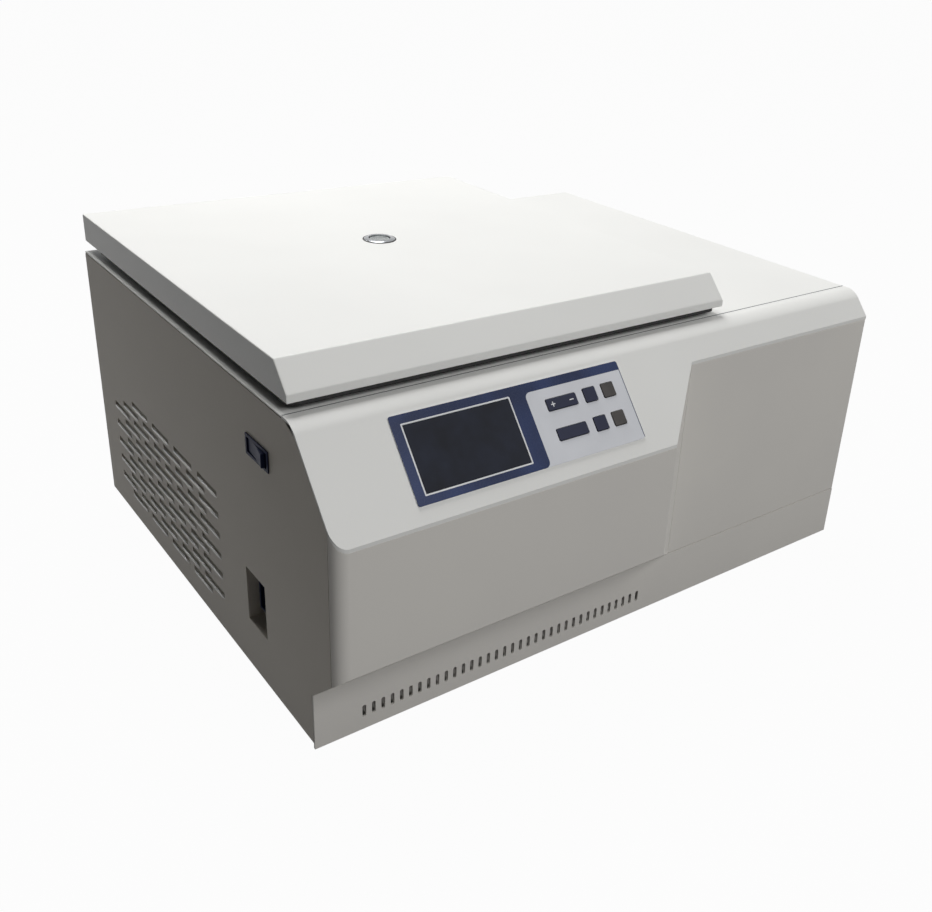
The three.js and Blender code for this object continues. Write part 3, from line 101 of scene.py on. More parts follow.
def slope_place(x, along, lift):
    """The placing that lays a flat drawing on the sloping panel, X to the right and Y up the slope."""
    up = Vector((0.0, math.cos(SLOPE_ANGLE), math.sin(SLOPE_ANGLE)))
    out = Vector((0.0, -math.sin(SLOPE_ANGLE), math.cos(SLOPE_ANGLE)))
    spot = SLOPE_FOOT + Vector((x, 0.0, 0.0)) + up * along + out * lift
    place = Matrix((Vector((1.0, 0.0, 0.0)), up, out)).transposed().to_4x4()
    return Matrix.Translation(at(*spot)) @ place


def slope_extent(node):
    """The lowest and the highest corner of a CAD node, in millimetres of a drawing laid on the slope."""
    return box_of(node, slope_place(0.0, 0.0, 0.0).inverted())


# Materials

def linear(code):
    """An sRGB hex colour as linear red, green, blue and alpha."""
    def channel(value):
        return value / 12.92 if value <= 0.04045 else ((value + 0.055) / 1.055) ** 2.4
    return tuple(channel(((code >> shift) & 255) / 255) for shift in (16, 8, 0)) + (1.0,)


def shade(colour, factor):
    """A linear colour as a hex code, darkened or lightened by a factor."""
    def channel(value):
        value = min(max(value * factor, 0.0), 1.0)
        coded = value * 12.92 if value <= 0.0031308 else 1.055 * value ** (1 / 2.4) - 0.055
        return int(round(coded * 255))
    red, green, blue = (channel(value) for value in colour)
    return (red << 16) + (green << 8) + blue


def add(tree, kind, inputs=None, **settings):
    """Adds one node with its settings, and fills its inputs with values or links."""
    made = tree.nodes.new(kind)
    for key, value in settings.items():
        setattr(made, key, value)
    for key, value in (inputs or {}).items():
        if isinstance(value, bpy.types.NodeSocket):
            tree.links.new(value, made.inputs[key])
        else:
            made.inputs[key].default_value = value
    return made


def new_material(name):
    """An empty node material and its tree."""
    material = bpy.data.materials.new(name)
    material.use_nodes = True
    material.node_tree.nodes.clear()
    return material, material.node_tree


def surfaced(material, inputs):
    """Ends a material, whose surface has these properties."""
    tree = material.node_tree
    shader = add(tree, "ShaderNodeBsdfPrincipled", inputs)
    add(tree, "ShaderNodeOutputMaterial", {"Surface": shader.outputs[0]})
    return material


def grain(tree, size_mm, detail=3.0, vector=None):
    """Noise whose features are about size_mm across."""
    source = vector or tree.nodes.new("ShaderNodeTexCoord").outputs["Object"]
    return add(tree, "ShaderNodeTexNoise", {
        "Vector": source, "Scale": 1.0 / (size_mm * MM), "Detail": detail, "Roughness": 0.55,
    }).outputs["Fac"]


def spread(tree, value, low, high, start=0.3, end=0.7):
    """A value's span start to end, laid out between low and high."""
    return add(tree, "ShaderNodeMapRange", {
        "Value": value, "From Min": start, "From Max": end, "To Min": low, "To Max": high,
    }).outputs[0]


def tone(tree, pattern, dark, light):
    """A dark and a light colour that take turns as a pattern does."""
    return add(tree, "ShaderNodeMix", {
        0: spread(tree, pattern, 0.0, 1.0), 6: linear(dark), 7: linear(light),
    }, data_type="RGBA").outputs[2]


def relief(tree, height, depth_mm, strength):
    """A bump of depth_mm from a height between nought and one."""
    return add(tree, "ShaderNodeBump", {
        "Height": height, "Distance": depth_mm * MM, "Strength": strength,
    }).outputs["Normal"]


def share(tree, size, part):
    """A value times a part, which is a number or another value."""
    return add(tree, "ShaderNodeMath", {0: size, 1: part}, operation="MULTIPLY").outputs[0]


def seen_straight(tree):
    """One where a ray comes from the camera, also by a mirror or through glass, and nought elsewhere."""
    path = tree.nodes.new("ShaderNodeLightPath").outputs
    seen = path["Is Camera Ray"]
    for other in ("Is Glossy Ray", "Is Transmission Ray"):
        seen = add(tree, "ShaderNodeMath", {0: seen, 1: path[other]}, operation="MAXIMUM").outputs[0]
    return seen


def powder_coat(name, dark, light, rough=0.42, sheen=0.24):
    """Polyester powder coat, sprayed and baked: satin, with faint orange peel and a slight drift of tone."""
    peel_mm, peel_depth_mm, drift_mm = 2.2, 0.05, 180.0
    material, tree = new_material(name)
    peel = grain(tree, peel_mm, detail=2.0)
    return surfaced(material, {
        "Base Color": tone(tree, grain(tree, drift_mm, detail=2.0), dark, light),
        "Roughness": spread(tree, peel, rough - 0.05, rough + 0.05),
        "Normal": relief(tree, peel, peel_depth_mm, strength=0.5),
        "Specular IOR Level": sheen,
        "IOR": 1.5,
    })


def moulded(name, dark, light, rough, texture_mm=0.6, depth_mm=0.03, sheen=0.22):
    """ABS moulded against a spark-eroded tool: even colour and a fine leathery texture."""
    patch_mm = 14.0
    material, tree = new_material(name)
    texture = grain(tree, texture_mm, detail=2.0)
    return surfaced(material, {
        "Base Color": tone(tree, grain(tree, patch_mm), dark, light),
        "Roughness": spread(tree, texture, rough - 0.08, rough + 0.06),
        "Normal": relief(tree, texture, depth_mm, strength=0.6),
        "Specular IOR Level": sheen,
        "IOR": 1.53,
    })


def rubber(name, dark, light):
    """Moulded rubber: matt, with a dry bloom that greys it in patches."""
    bloom_mm, grain_mm, depth_mm = 9.0, 0.8, 0.04
    material, tree = new_material(name)
    bloom = grain(tree, bloom_mm, detail=4.0)
    return surfaced(material, {
        "Base Color": tone(tree, bloom, dark, light),
        "Roughness": spread(tree, bloom, 0.68, 0.86),
        "Normal": relief(tree, grain(tree, grain_mm), depth_mm, strength=0.5),
        "IOR": 1.52,
    })


def metal(name, dark, light, rough, scratch_mm, stretch=(1.0, 1.0, 1.0), depth_mm=0.01):
    """Bare metal whose finishing scratches run along the axis that stretch makes long."""
    patch_mm = 35.0
    material, tree = new_material(name)
    source = tree.nodes.new("ShaderNodeTexCoord").outputs["Object"]
    laid = add(tree, "ShaderNodeMapping", {"Vector": source, "Scale": stretch}).outputs[0]
    scratch = grain(tree, scratch_mm, detail=2.0, vector=laid)
    return surfaced(material, {
        "Base Color": tone(tree, grain(tree, patch_mm), dark, light),
        "Roughness": spread(tree, scratch, rough - 0.07, rough + 0.08),
        "Normal": relief(tree, scratch, depth_mm, strength=0.5),
        "Metallic": 1.0,
    })


def spun_metal(name, dark, light, rough, centre):
    """Metal spun or turned about an upright axis: fine rings round the centre, level lines on the wall."""
    ring_mm, depth_mm, patch_mm = 1.2, 0.012, 60.0
    material, tree = new_material(name)
    source = tree.nodes.new("ShaderNodeTexCoord").outputs["Object"]
    moved = add(tree, "ShaderNodeVectorMath", {0: source, 1: centre}, operation="SUBTRACT").outputs[0]
    flat = add(tree, "ShaderNodeVectorMath", {0: moved, 1: (1.0, 1.0, 0.0)}, operation="MULTIPLY").outputs[0]
    reach = add(tree, "ShaderNodeVectorMath", {0: flat}, operation="LENGTH").outputs["Value"]
    height = add(tree, "ShaderNodeSeparateXYZ", {0: moved}).outputs["Z"]
    rings = add(tree, "ShaderNodeCombineXYZ", {"X": reach, "Y": height}).outputs[0]
    scratch = grain(tree, ring_mm, detail=4.0, vector=rings)
    return surfaced(material, {
        "Base Color": tone(tree, grain(tree, patch_mm), dark, light),
        "Roughness": spread(tree, scratch, rough - 0.07, rough + 0.1),
        "Normal": relief(tree, scratch, depth_mm, strength=0.5),
        "Metallic": 1.0,
    })


def insulating_foam(name, dark, light):
    """Poured polyurethane foam: open cells under a rough skin, yellowed in patches."""
    cell_mm, depth_mm, patch_mm = 1.6, 0.5, 22.0
    material, tree = new_material(name)
    source = tree.nodes.new("ShaderNodeTexCoord").outputs["Object"]
    cells = add(tree, "ShaderNodeTexVoronoi", {
        "Vector": source, "Scale": 1.0 / (cell_mm * MM),
    }).outputs["Distance"]
    return surfaced(material, {
        "Base Color": tone(tree, grain(tree, patch_mm), dark, light),
        "Roughness": spread(tree, cells, 0.82, 0.95, start=0.0, end=1.0),
        "Normal": relief(tree, cells, depth_mm, strength=0.7),
        "IOR": 1.45,
    })


def sheet_glass(name, tint):
    """Float glass: clear, with a trace of green and faint wiping marks."""
    wipe_mm = 6.0
    material, tree = new_material(name)
    return surfaced(material, {
        "Base Color": linear(tint),
        "Roughness": spread(tree, grain(tree, wipe_mm), 0.02, 0.07),
        "Transmission Weight": 0.92,
        "IOR": 1.5,
    })


def display_glass(name, dark, light):
    """Tinted acrylic window over an unlit liquid crystal display: near black, glossy, a little blue."""
    smear_mm = 24.0
    material, tree = new_material(name)
    smear = grain(tree, smear_mm, detail=2.0)
    return surfaced(material, {
        "Base Color": tone(tree, smear, dark, light),
        "Roughness": spread(tree, smear, 0.07, 0.12),
        "Specular IOR Level": 0.2,
        "IOR": 1.49,
    })


def printed_film(name, dark, light, rough=0.24):
    """Screen-printed polyester film: satin face with a very fine tooth, ink a little uneven underneath."""
    tooth_mm, depth_mm, ink_mm = 0.5, 0.01, 42.0
    material, tree = new_material(name)
    tooth = grain(tree, tooth_mm, detail=1.0)
    return surfaced(material, {
        "Base Color": tone(tree, grain(tree, ink_mm, detail=2.0), dark, light),
        "Roughness": spread(tree, tooth, rough - 0.04, rough + 0.06),
        "Normal": relief(tree, tooth, depth_mm, strength=0.4),
        "Specular IOR Level": 0.2,
        "IOR": 1.57,
    })


# Pieces

def matter(key):
    """A finish made by the finishes operator."""
    return bpy.data.materials[key]


def piece(name, mesh, material, body, replaces=()):
    """Puts a finished mesh in the scene, on its body, with its finish."""
    thing = bpy.data.objects.new(name, mesh)
    bpy.context.scene.collection.objects.link(thing)
    if material is not None:
        mesh.materials.clear()
        mesh.materials.append(matter(material))
    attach(thing, body)
    if replaces:
        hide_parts(*replaces)


def settled(thing):
    """The object's mesh with its modifiers worked in."""
    graph = bpy.context.evaluated_depsgraph_get()
    mesh = bpy.data.meshes.new_from_object(thing.evaluated_get(graph), depsgraph=graph)
    old = thing.data
    bpy.data.objects.remove(thing)
    if old.users == 0 and isinstance(old, bpy.types.Mesh):
        bpy.data.meshes.remove(old)
    return mesh


def shade_rounded(mesh, rounding, sharp_deg):
    """Corner normals that keep flat faces flat and let the narrow faces of a rounded edge blend into them."""
    reach_deg = 50.0
    around = [[] for _ in mesh.vertices]
    for face in mesh.polygons:
        for corner in face.loop_indices:
            around[mesh.loops[corner].vertex_index].append(face)
    normals = [None] * len(mesh.loops)
    for face in mesh.polygons:
        limit = math.cos(math.radians(reach_deg if rounding[face.index] else sharp_deg))
        for corner in face.loop_indices:
            near = [other for other in around[mesh.loops[corner].vertex_index]
                    if other.normal.dot(face.normal) > limit]
            flat = [other for other in near if not rounding[other.index]]
            total = Vector()
            for other in flat or near:
                total += other.normal * other.area
            normals[corner] = total.normalized()
    mesh.normals_split_custom_set(normals)


def soften(node, radius_mm, least_mm=12.0, steps=2, sharp_deg=25.0, within=None, bend_mm=0.0, bend_over=0.0):
    """A CAD node with its long edges rounded; shallow bends over a height get a set-back of their own."""
    shallow_deg, bend_least_mm, bend_steps = 75.0, 60.0, 8
    every_deg, coplanar_deg = 181.0, 0.5
    same_facing, same_plane_mm = 0.9999, 0.02
    work = bmesh.new()
    work.from_mesh(frame["nodes"][node].data)
    bmesh.ops.remove_doubles(work, verts=work.verts, dist=WELD)
    bmesh.ops.dissolve_limit(work, angle_limit=math.radians(coplanar_deg), verts=work.verts, edges=work.edges)
    planes = [(face.normal.copy(), face.normal.dot(face.verts[0].co)) for face in work.faces]

    def roll(high_deg, least, setback, segments, over=-1.0):
        edges = [
            edge for edge in work.edges
            if len(edge.link_faces) == 2
            and edge.calc_length() > least * MM
            and math.radians(sharp_deg) < edge.calc_face_angle(0.0) < math.radians(high_deg)
            and all(vert.co.z > over for vert in edge.verts)
            and (within is None or within(edge))
        ]
        bmesh.ops.bevel(work, geom=edges, offset=setback * MM, offset_type="OFFSET", segments=segments,
                        profile=0.5, affect="EDGES", clamp_overlap=True, loop_slide=False)

    if bend_mm > 0.0:
        roll(shallow_deg, bend_least_mm, bend_mm, bend_steps, bend_over)
    roll(every_deg, least_mm, radius_mm, steps)
    bmesh.ops.remove_doubles(work, verts=work.verts, dist=BEVEL_WELD)
    bmesh.ops.dissolve_degenerate(work, dist=BEVEL_WELD, edges=work.edges)
    bmesh.ops.triangulate(work, faces=work.faces)
    work.normal_update()
    rounding = [
        not any(normal.dot(face.normal) > same_facing
                and abs(normal.dot(face.verts[0].co) - reach) < same_plane_mm * MM
                for normal, reach in planes)
        for face in work.faces
    ]
    mesh = bpy.data.meshes.new(node + "_shown")
    work.to_mesh(mesh)
    work.free()
    for face in mesh.polygons:
        face.use_smooth = True
    shade_rounded(mesh, rounding, sharp_deg)
    return mesh


def body_of(node):
    """The moving body that a CAD node belongs to."""
    for body, nodes in frame["record"]["behaviour"]["bodies"].items():
        if node in nodes:
            return body
    raise ValueError(node)


def slot_of(node):
    """The record's material slot of a CAD node."""
    return next(part["material_slot"] for part in frame["record"]["subparts"] if part["node"] == node)


def dress(node, material, radius_mm=0.0, **edges):
    """Shows a node in its finish, with rounded edges where a radius is given."""
    if radius_mm > 0.0:
        mesh = soften(node, radius_mm, **edges)
        piece(node + "_shown", mesh, material, body_of(node), (node,))
        return
    for slot in frame["nodes"][node].material_slots:
        slot.material = matter(material)


def arc(centre, radius, start_deg, end_deg, steps=6):
    """Points on an arc, in degrees, in order."""
    turns = [math.radians(start_deg + (end_deg - start_deg) * step / steps) for step in range(steps + 1)]
    return [(centre[0] + radius * math.cos(turn), centre[1] + radius * math.sin(turn)) for turn in turns]


def oblong(left, foot, right, top):
    """The outline of a rectangle, anticlockwise."""
    return [(left, foot), (right, foot), (right, top), (left, top)]


def rounded(left, foot, right, top, radius):
    """The outline of a rectangle with round corners, anticlockwise."""
    return (
        arc((right - radius, foot + radius), radius, -90.0, 0.0)
        + arc((right - radius, top - radius), radius, 0.0, 90.0)
        + arc((left + radius, top - radius), radius, 90.0, 180.0)
        + arc((left + radius, foot + radius), radius, 180.0, 270.0)
    )


def outside(low, high, margin):
    """A box's left, foot, right and top as seen flat, each moved out by a margin."""
    return low.x - margin, low.y - margin, high.x + margin, high.y + margin


def plate(outlines, thick_mm, place):
    """A flat plate with holes from closed outlines in millimetres, laid down by a placing."""
    curve = bpy.data.curves.new("plate", "CURVE")
    curve.dimensions = "2D"
    curve.fill_mode = "BOTH"
    curve.extrude = thick_mm * MM / 2
    for outline in outlines:
        spline = curve.splines.new("POLY")
        spline.points.add(len(outline) - 1)
        for point, (x, y) in zip(spline.points, outline):
            point.co = (x * MM, y * MM, thick_mm * MM / 2, 1.0)
        spline.use_cyclic_u = True
    thing = bpy.data.objects.new("plate", curve)
    bpy.context.scene.collection.objects.link(thing)
    mesh = settled(thing)
    bpy.data.curves.remove(curve)
    mesh.transform(place)
    work = bmesh.new()
    work.from_mesh(mesh)
    bmesh.ops.remove_doubles(work, verts=work.verts, dist=FINE_WELD)
    bmesh.ops.recalc_face_normals(work, faces=work.faces)
    work.to_mesh(mesh)
    work.free()
    return mesh


def ring_of(outer, inner):
    """An outline and the hole inside it."""
    return [outer, list(reversed(inner))]


def turned(profile, x, y, steps):
    """A solid turned about an upright axis, from a closed profile of radius and height in millimetres."""
    sharp_deg = 34.0
    work = bmesh.new()
    rings = []
    for step in range(steps):
        turn = 2 * math.pi * step / steps
        rings.append([
            work.verts.new(at(x + radius * math.cos(turn), y + radius * math.sin(turn), height))
            for radius, height in profile
        ])
    for index, ring in enumerate(rings):
        other = rings[(index + 1) % steps]
        for low in range(len(profile)):
            high = (low + 1) % len(profile)
            work.faces.new((ring[low], other[low], other[high], ring[high]))
    bmesh.ops.remove_doubles(work, verts=work.verts, dist=FINE_WELD)
    bmesh.ops.dissolve_degenerate(work, dist=FINE_WELD, edges=work.edges)
    bmesh.ops.recalc_face_normals(work, faces=work.faces)
    mesh = bpy.data.meshes.new("turned")
    work.to_mesh(mesh)
    work.free()
    for face in mesh.polygons:
        face.use_smooth = True
    mesh.set_sharp_from_angle(angle=math.radians(sharp_deg))
    return mesh


def fillet(points, index, radius, steps=4):
    """The profile with one corner rounded, its set-back kept under half of either side."""
    most = 0.48
    count = len(points)
    before, corner, after = (Vector(points[(index + shift) % count]) for shift in (-1, 0, 1))
    first = (before - corner).normalized()
    second = (after - corner).normalized()
    half = first.angle(second) / 2
    room = min((before - corner).length, (after - corner).length) * most
    setback = min(radius / math.tan(half), room)
    radius = setback * math.tan(half)
    middle = corner + (first + second).normalized() * radius / math.sin(half)
    start, end = corner + first * setback - middle, corner + second * setback - middle
    span = start.angle_signed(end)
    bend = [middle + Matrix.Rotation(-span * step / steps, 2) @ start for step in range(steps + 1)]
    return points[:index] + [tuple(point) for point in bend] + points[index + 1:]


def join(parts):
    """One mesh from several."""
    work = bmesh.new()
    for part in parts:
        work.from_mesh(part)
        bpy.data.meshes.remove(part)
    mesh = bpy.data.meshes.new("joined")
    work.to_mesh(mesh)
    work.free()
    return mesh


# Geometry trees

def new_group(name, sizes, directions=()):
    """A geometry tree that takes points, sizes in metres, directions and a material, and what it is given."""
    tree = bpy.data.node_groups.new(name, "GeometryNodeTree")
    faces = tree.interface
    faces.new_socket("Geometry", in_out="INPUT", socket_type="NodeSocketGeometry")
    for label, default in sizes.items():
        socket = faces.new_socket(label, in_out="INPUT", socket_type="NodeSocketFloat")
        socket.subtype = "DISTANCE"
        socket.default_value = default
    for label in directions:
        faces.new_socket(label, in_out="INPUT", socket_type="NodeSocketVector")
    faces.new_socket("Material", in_out="INPUT", socket_type="NodeSocketMaterial")
    faces.new_socket("Geometry", in_out="OUTPUT", socket_type="NodeSocketGeometry")
    return tree, tree.nodes.new("NodeGroupInput").outputs


def set_out(tree, given, shape, **turned_by):
    """Ends a tree: its shape on each given point, as plain geometry in the given material."""
    placed = add(tree, "GeometryNodeInstanceOnPoints", {
        "Points": given["Geometry"], "Instance": shape, **turned_by,
    }).outputs[0]
    real = add(tree, "GeometryNodeRealizeInstances", {"Geometry": placed}).outputs[0]
    shaded = add(tree, "GeometryNodeSetMaterial", {"Geometry": real, "Material": given["Material"]})
    add(tree, "NodeGroupOutput", {0: shaded.outputs[0]})
    return tree


def screw_tree():
    """Pan-head screws with a cross recess, one on each vertex, standing along a direction."""
    tree, given = new_group("Pan-head screws", {
        "Head radius": 0.0032, "Head height": 0.0016, "Recess width": 0.0009,
    }, ["Facing"])
    radius, height, width = given["Head radius"], given["Head height"], given["Recess width"]
    crown, arm_reach, arm_lift = 0.72, 1.1, 0.95
    head = add(tree, "GeometryNodeMeshCone", {
        "Vertices": 20, "Radius Top": share(tree, radius, crown), "Radius Bottom": radius, "Depth": height,
    }).outputs["Mesh"]
    cut = add(tree, "GeometryNodeMeshBoolean", {"Mesh 1": head}, operation="DIFFERENCE")
    reach = share(tree, radius, arm_reach)
    lift = add(tree, "ShaderNodeCombineXYZ", {"Z": share(tree, height, arm_lift)}).outputs[0]
    for x, y in ((reach, width), (width, reach)):
        size = add(tree, "ShaderNodeCombineXYZ", {"X": x, "Y": y, "Z": height}).outputs[0]
        arm = add(tree, "GeometryNodeMeshCube", {"Size": size}).outputs["Mesh"]
        raised = add(tree, "GeometryNodeTransform", {"Geometry": arm, "Translation": lift}).outputs[0]
        tree.links.new(raised, cut.inputs["Mesh 2"])
    turn = add(tree, "FunctionNodeAlignRotationToVector", {"Vector": given["Facing"]}, axis="Z").outputs[0]
    return set_out(tree, given, cut.outputs["Mesh"], Rotation=turn)


def lip_tree():
    """Rolled sheet lips along Y, one on each vertex, thinning out at both ends."""
    tree, given = new_group("Rolled lips", {"Length": 0.04, "Radius": 0.001})
    half = share(tree, given["Length"], 0.5)
    line = add(tree, "GeometryNodeCurvePrimitiveLine", {
        "Start": add(tree, "ShaderNodeCombineXYZ", {"Y": share(tree, half, -1.0)}).outputs[0],
        "End": add(tree, "ShaderNodeCombineXYZ", {"Y": half}).outputs[0],
    }).outputs[0]
    fine = add(tree, "GeometryNodeResampleCurve", {"Curve": line, "Count": 13}).outputs[0]
    along = tree.nodes.new("GeometryNodeSplineParameter").outputs["Factor"]
    rest = add(tree, "ShaderNodeMath", {0: 1.0, 1: along}, operation="SUBTRACT").outputs[0]
    end_share, full_from = 0.25, 0.11
    swell = spread(tree, share(tree, along, rest), end_share, 1.0, start=0.0, end=full_from)
    shaped = add(tree, "GeometryNodeSetCurveRadius", {"Curve": fine, "Radius": swell}).outputs[0]
    profile = add(tree, "GeometryNodeCurvePrimitiveCircle", {
        "Resolution": 10, "Radius": given["Radius"],
    }).outputs[0]
    lip = add(tree, "GeometryNodeCurveToMesh", {
        "Curve": shaped, "Profile Curve": profile, "Scale": swell, "Fill Caps": True,
    }).outputs[0]
    return set_out(tree, given, lip)


def grown(tree, points, values):
    """The mesh that a geometry tree makes from points, its inputs set by their sockets' identifiers."""
    seed = bpy.data.meshes.new("places")
    seed.from_pydata([tuple(point) for point in points], [], [])
    thing = bpy.data.objects.new("places", seed)
    bpy.context.scene.collection.objects.link(thing)
    maker = thing.modifiers.new("Maker", "NODES")
    maker.node_group = tree
    for socket in tree.interface.items_tree:
        if socket.in_out == "INPUT" and socket.name in values:
            maker[socket.identifier] = values[socket.name]
    return settled(thing)


# Sizes and colours a user may change

class CentrifugeFinish(bpy.types.PropertyGroup):
    """Colours of the paint, of its darker copies that paint shade on the front and flanks, and of the printed
    panel.
    """
    paint: FloatVectorProperty(name="Top paint", description="Powder coat of the lid, panel and top",
                               subtype="COLOR", size=3, min=0.0, max=1.0, default=linear(0xF2F2EF)[:3])
    # The front coat is the top paint darkened: painted shade for faces that turn away from the overhead
    # light.
    front_shade_paint: FloatVectorProperty(name="Front shade paint", description="Powder coat of front, skirt and back",
                                     subtype="COLOR", size=3, min=0.0, max=1.0, default=linear(0xE6E3DD)[:3])
    # The flank coat is the top paint darkened and warmed: painted shade and a painted warm bounce of light on
    # the side panels.
    flank_shade_paint: FloatVectorProperty(name="Flank shade paint", description="Powder coat of the two side panels",
                                     subtype="COLOR", size=3, min=0.0, max=1.0, default=linear(0xCCC6BC)[:3])
    print_blue: FloatVectorProperty(name="Print blue", description="Blue ink of the panel film",
                                    subtype="COLOR", size=3, min=0.0, max=1.0, default=linear(0x2A385F)[:3])
    field_grey: FloatVectorProperty(name="Key field", description="Light ink round the keys",
                                    subtype="COLOR", size=3, min=0.0, max=1.0, default=linear(0xDEE0E5)[:3])


class CentrifugeSizes(bpy.types.PropertyGroup):
    """Sizes of the fine forms that the scene adds."""
    fold: FloatProperty(name="Fold radius", description="Outside radius of a folded sheet edge",
                        unit="LENGTH", default=0.0013, min=0.0002, max=0.003)
    bend: FloatProperty(name="Panel bend", description="Set-back of the bend between control panel and top",
                        unit="LENGTH", default=0.009, min=0.001, max=0.012)
    lid_fold: FloatProperty(name="Lid fold radius", description="Outside radius of the lid's folds",
                            unit="LENGTH", default=0.0022, min=0.0002, max=0.004)
    liner_fold: FloatProperty(name="Liner fold radius", description="Outside radius of the lid liner's edges",
                              unit="LENGTH", default=0.0006, min=0.0002, max=0.001)
    lip_radius: FloatProperty(name="Louvre lip", description="Radius of the rolled lower lip of a louvre",
                              unit="LENGTH", default=0.0012, min=0.0004, max=0.002)
    lip_drop: FloatProperty(name="Lip drop", description="Height from a louvre's middle down to its lip",
                            unit="LENGTH", default=0.0028, min=0.001, max=0.004)
    key_round: FloatProperty(name="Key rounding", description="Radius round the top of a key",
                             unit="LENGTH", default=0.0005, min=0.0001, max=0.001)
    frame_line: FloatProperty(name="Frame line", description="Width of the white line round the display",
                              unit="LENGTH", default=0.0012, min=0.0004, max=0.003)
    screw_radius: FloatProperty(name="Screw head radius", description="Radius of the cabinet screws' heads",
                                unit="LENGTH", default=0.0034, min=0.001, max=0.006)
    rear_screws: IntProperty(name="Rear screws", description="Screws along each long edge of the rear panel",
                             default=6, min=2, max=12)


class CentrifugeStudio(bpy.types.PropertyGroup):
    """Lamps of the studio."""
    top_power: FloatProperty(name="Top lamp", description="Power of the soft lamp overhead",
                             unit="POWER", default=30.5, min=0.0)
    front_power: FloatProperty(name="Front lamp", description="Power of the soft lamp at the right front",
                               unit="POWER", default=39.5, min=0.0)
    rear_power: FloatProperty(name="Rear lamp", description="Power of the small lamp behind the left side",
                              unit="POWER", default=3.5, min=0.0)
    sky: FloatProperty(name="Sky", description="Strength of the even light from all round",
                       default=0.03, min=0.0, max=2.0)


# Operators, one for each group of pieces

class OBJECT_OT_centrifuge_finishes(bpy.types.Operator):
    """Makes the finishes and gives each carried-over piece its own"""
    bl_idname = "object.centrifuge_finishes"
    bl_label = "Finishes"

    def execute(self, context):
        look = context.scene.centrifuge_finish
        top_dark, top_light = shade(look.paint, 0.965), shade(look.paint, 1.0)
        powder_coat("White powder coat", top_dark, top_light, sheen=0.18)
        powder_coat("Gloss white enamel", top_dark, top_light, rough=0.20, sheen=0.6)
        # Both coats made here are darker copies of the top paint: painted shade, light on the front and
        # deeper on the flanks.
        for name, paint in (
            ("Front shade powder coat", look.front_shade_paint),
            ("Flank shade powder coat", look.flank_shade_paint),
        ):
            powder_coat(name, shade(paint, 0.955), shade(paint, 1.0), rough=0.50, sheen=0.12)
        powder_coat("Black enamel", 0x17181A, 0x202225, rough=0.30)
        moulded("Black ABS", 0x17181B, 0x212328, rough=0.46)
        moulded("Circuit board", 0x1A5236, 0x236644, rough=0.42, texture_mm=1.5, depth_mm=0.02)
        for name, dark, light, rough, sheen in (
            ("Dark blue key plastic", 0x1A1E33, 0x20253D, 0.42, 0.22),
            ("Grey brown key plastic", 0x3F3D3C, 0x4D4A48, 0.48, 0.22),
            ("Dark blue switch plastic", 0x171B2E, 0x1D2238, 0.50, 0.06),
        ):
            moulded(name, dark, light, rough, texture_mm=0.4, depth_mm=0.01, sheen=sheen)
        rubber("Black rubber", 0x1A1A1B, 0x2A2A2B)
        rubber("Grey silicone rubber", 0x5E6164, 0x74777A)
        metal("Zinc plated steel", 0x9EA3A6, 0xB6BABC, 0.38, scratch_mm=1.4, stretch=(1.0, 0.25, 1.0))
        metal("Brushed stainless steel", 0xAEB1B3, 0xC2C5C7, 0.30, scratch_mm=0.7, stretch=(0.06, 1.0, 1.0))
        metal("Polished chromium", 0x8E9093, 0xA2A4A7, 0.14, scratch_mm=4.0, depth_mm=0.004)
        metal("Anodised aluminium", 0xA4A8AC, 0xB9BDC0, 0.36, scratch_mm=0.5)
        metal("Copper tube", 0xA8643E, 0xC47F55, 0.30, scratch_mm=2.0, stretch=(1.0, 1.0, 0.2))
        bowl_centre = at(CHAMBER_X, CHAMBER_Y, extent("chamber_bowl")[0].z + BOWL_SHEET)
        spun_metal("Spun stainless steel", 0xB2B5B7, 0xC6C9CB, 0.26, bowl_centre)
        insulating_foam("Polyurethane foam", 0xDCCFA9, 0xEBE2C8)
        sheet_glass("Sight glass", 0xE6EEEC)
        display_glass("Display window", 0x191C26, 0x212635)
        blue, grey = look.print_blue, look.field_grey
        printed_film("Blue printed film", shade(blue, 0.62), shade(blue, 1.15))
        printed_film("Grey printed film", shade(grey, 0.95), shade(grey, 1.04), rough=0.30)
        printed_film("White print", 0xE4E6E8, 0xF0F1F2, rough=0.40)
        finishes = {
            "whitePaint": "White powder coat", "greyPaint": "Front shade powder coat",
            "steel": "Brushed stainless steel", "zincSteel": "Zinc plated steel",
            "chromium": "Polished chromium", "aluminium": "Anodised aluminium", "copper": "Copper tube",
            "blackPaint": "Black enamel", "blackPlastic": "Black ABS", "rubber": "Black rubber",
            "foam": "Polyurethane foam", "clearGlass": "Sight glass", "screenGlass": "Display window",
            "blueFilm": "Grey printed film", "keyBlue": "Dark blue key plastic",
            "keyBrown": "Grey brown key plastic", "boardGreen": "Circuit board",
        }
        # The side panels get the flank coat, whose dark warm tone is painted shade.
        own = {
            "chamber_bowl": "Spun stainless steel", "lid_seal": "Grey silicone rubber",
            "left_side_panel": "Flank shade powder coat", "right_side_panel": "Flank shade powder coat",
        }
        for node in frame["nodes"]:
            dress(node, own.get(node, finishes[slot_of(node)]))
        return {"FINISHED"}


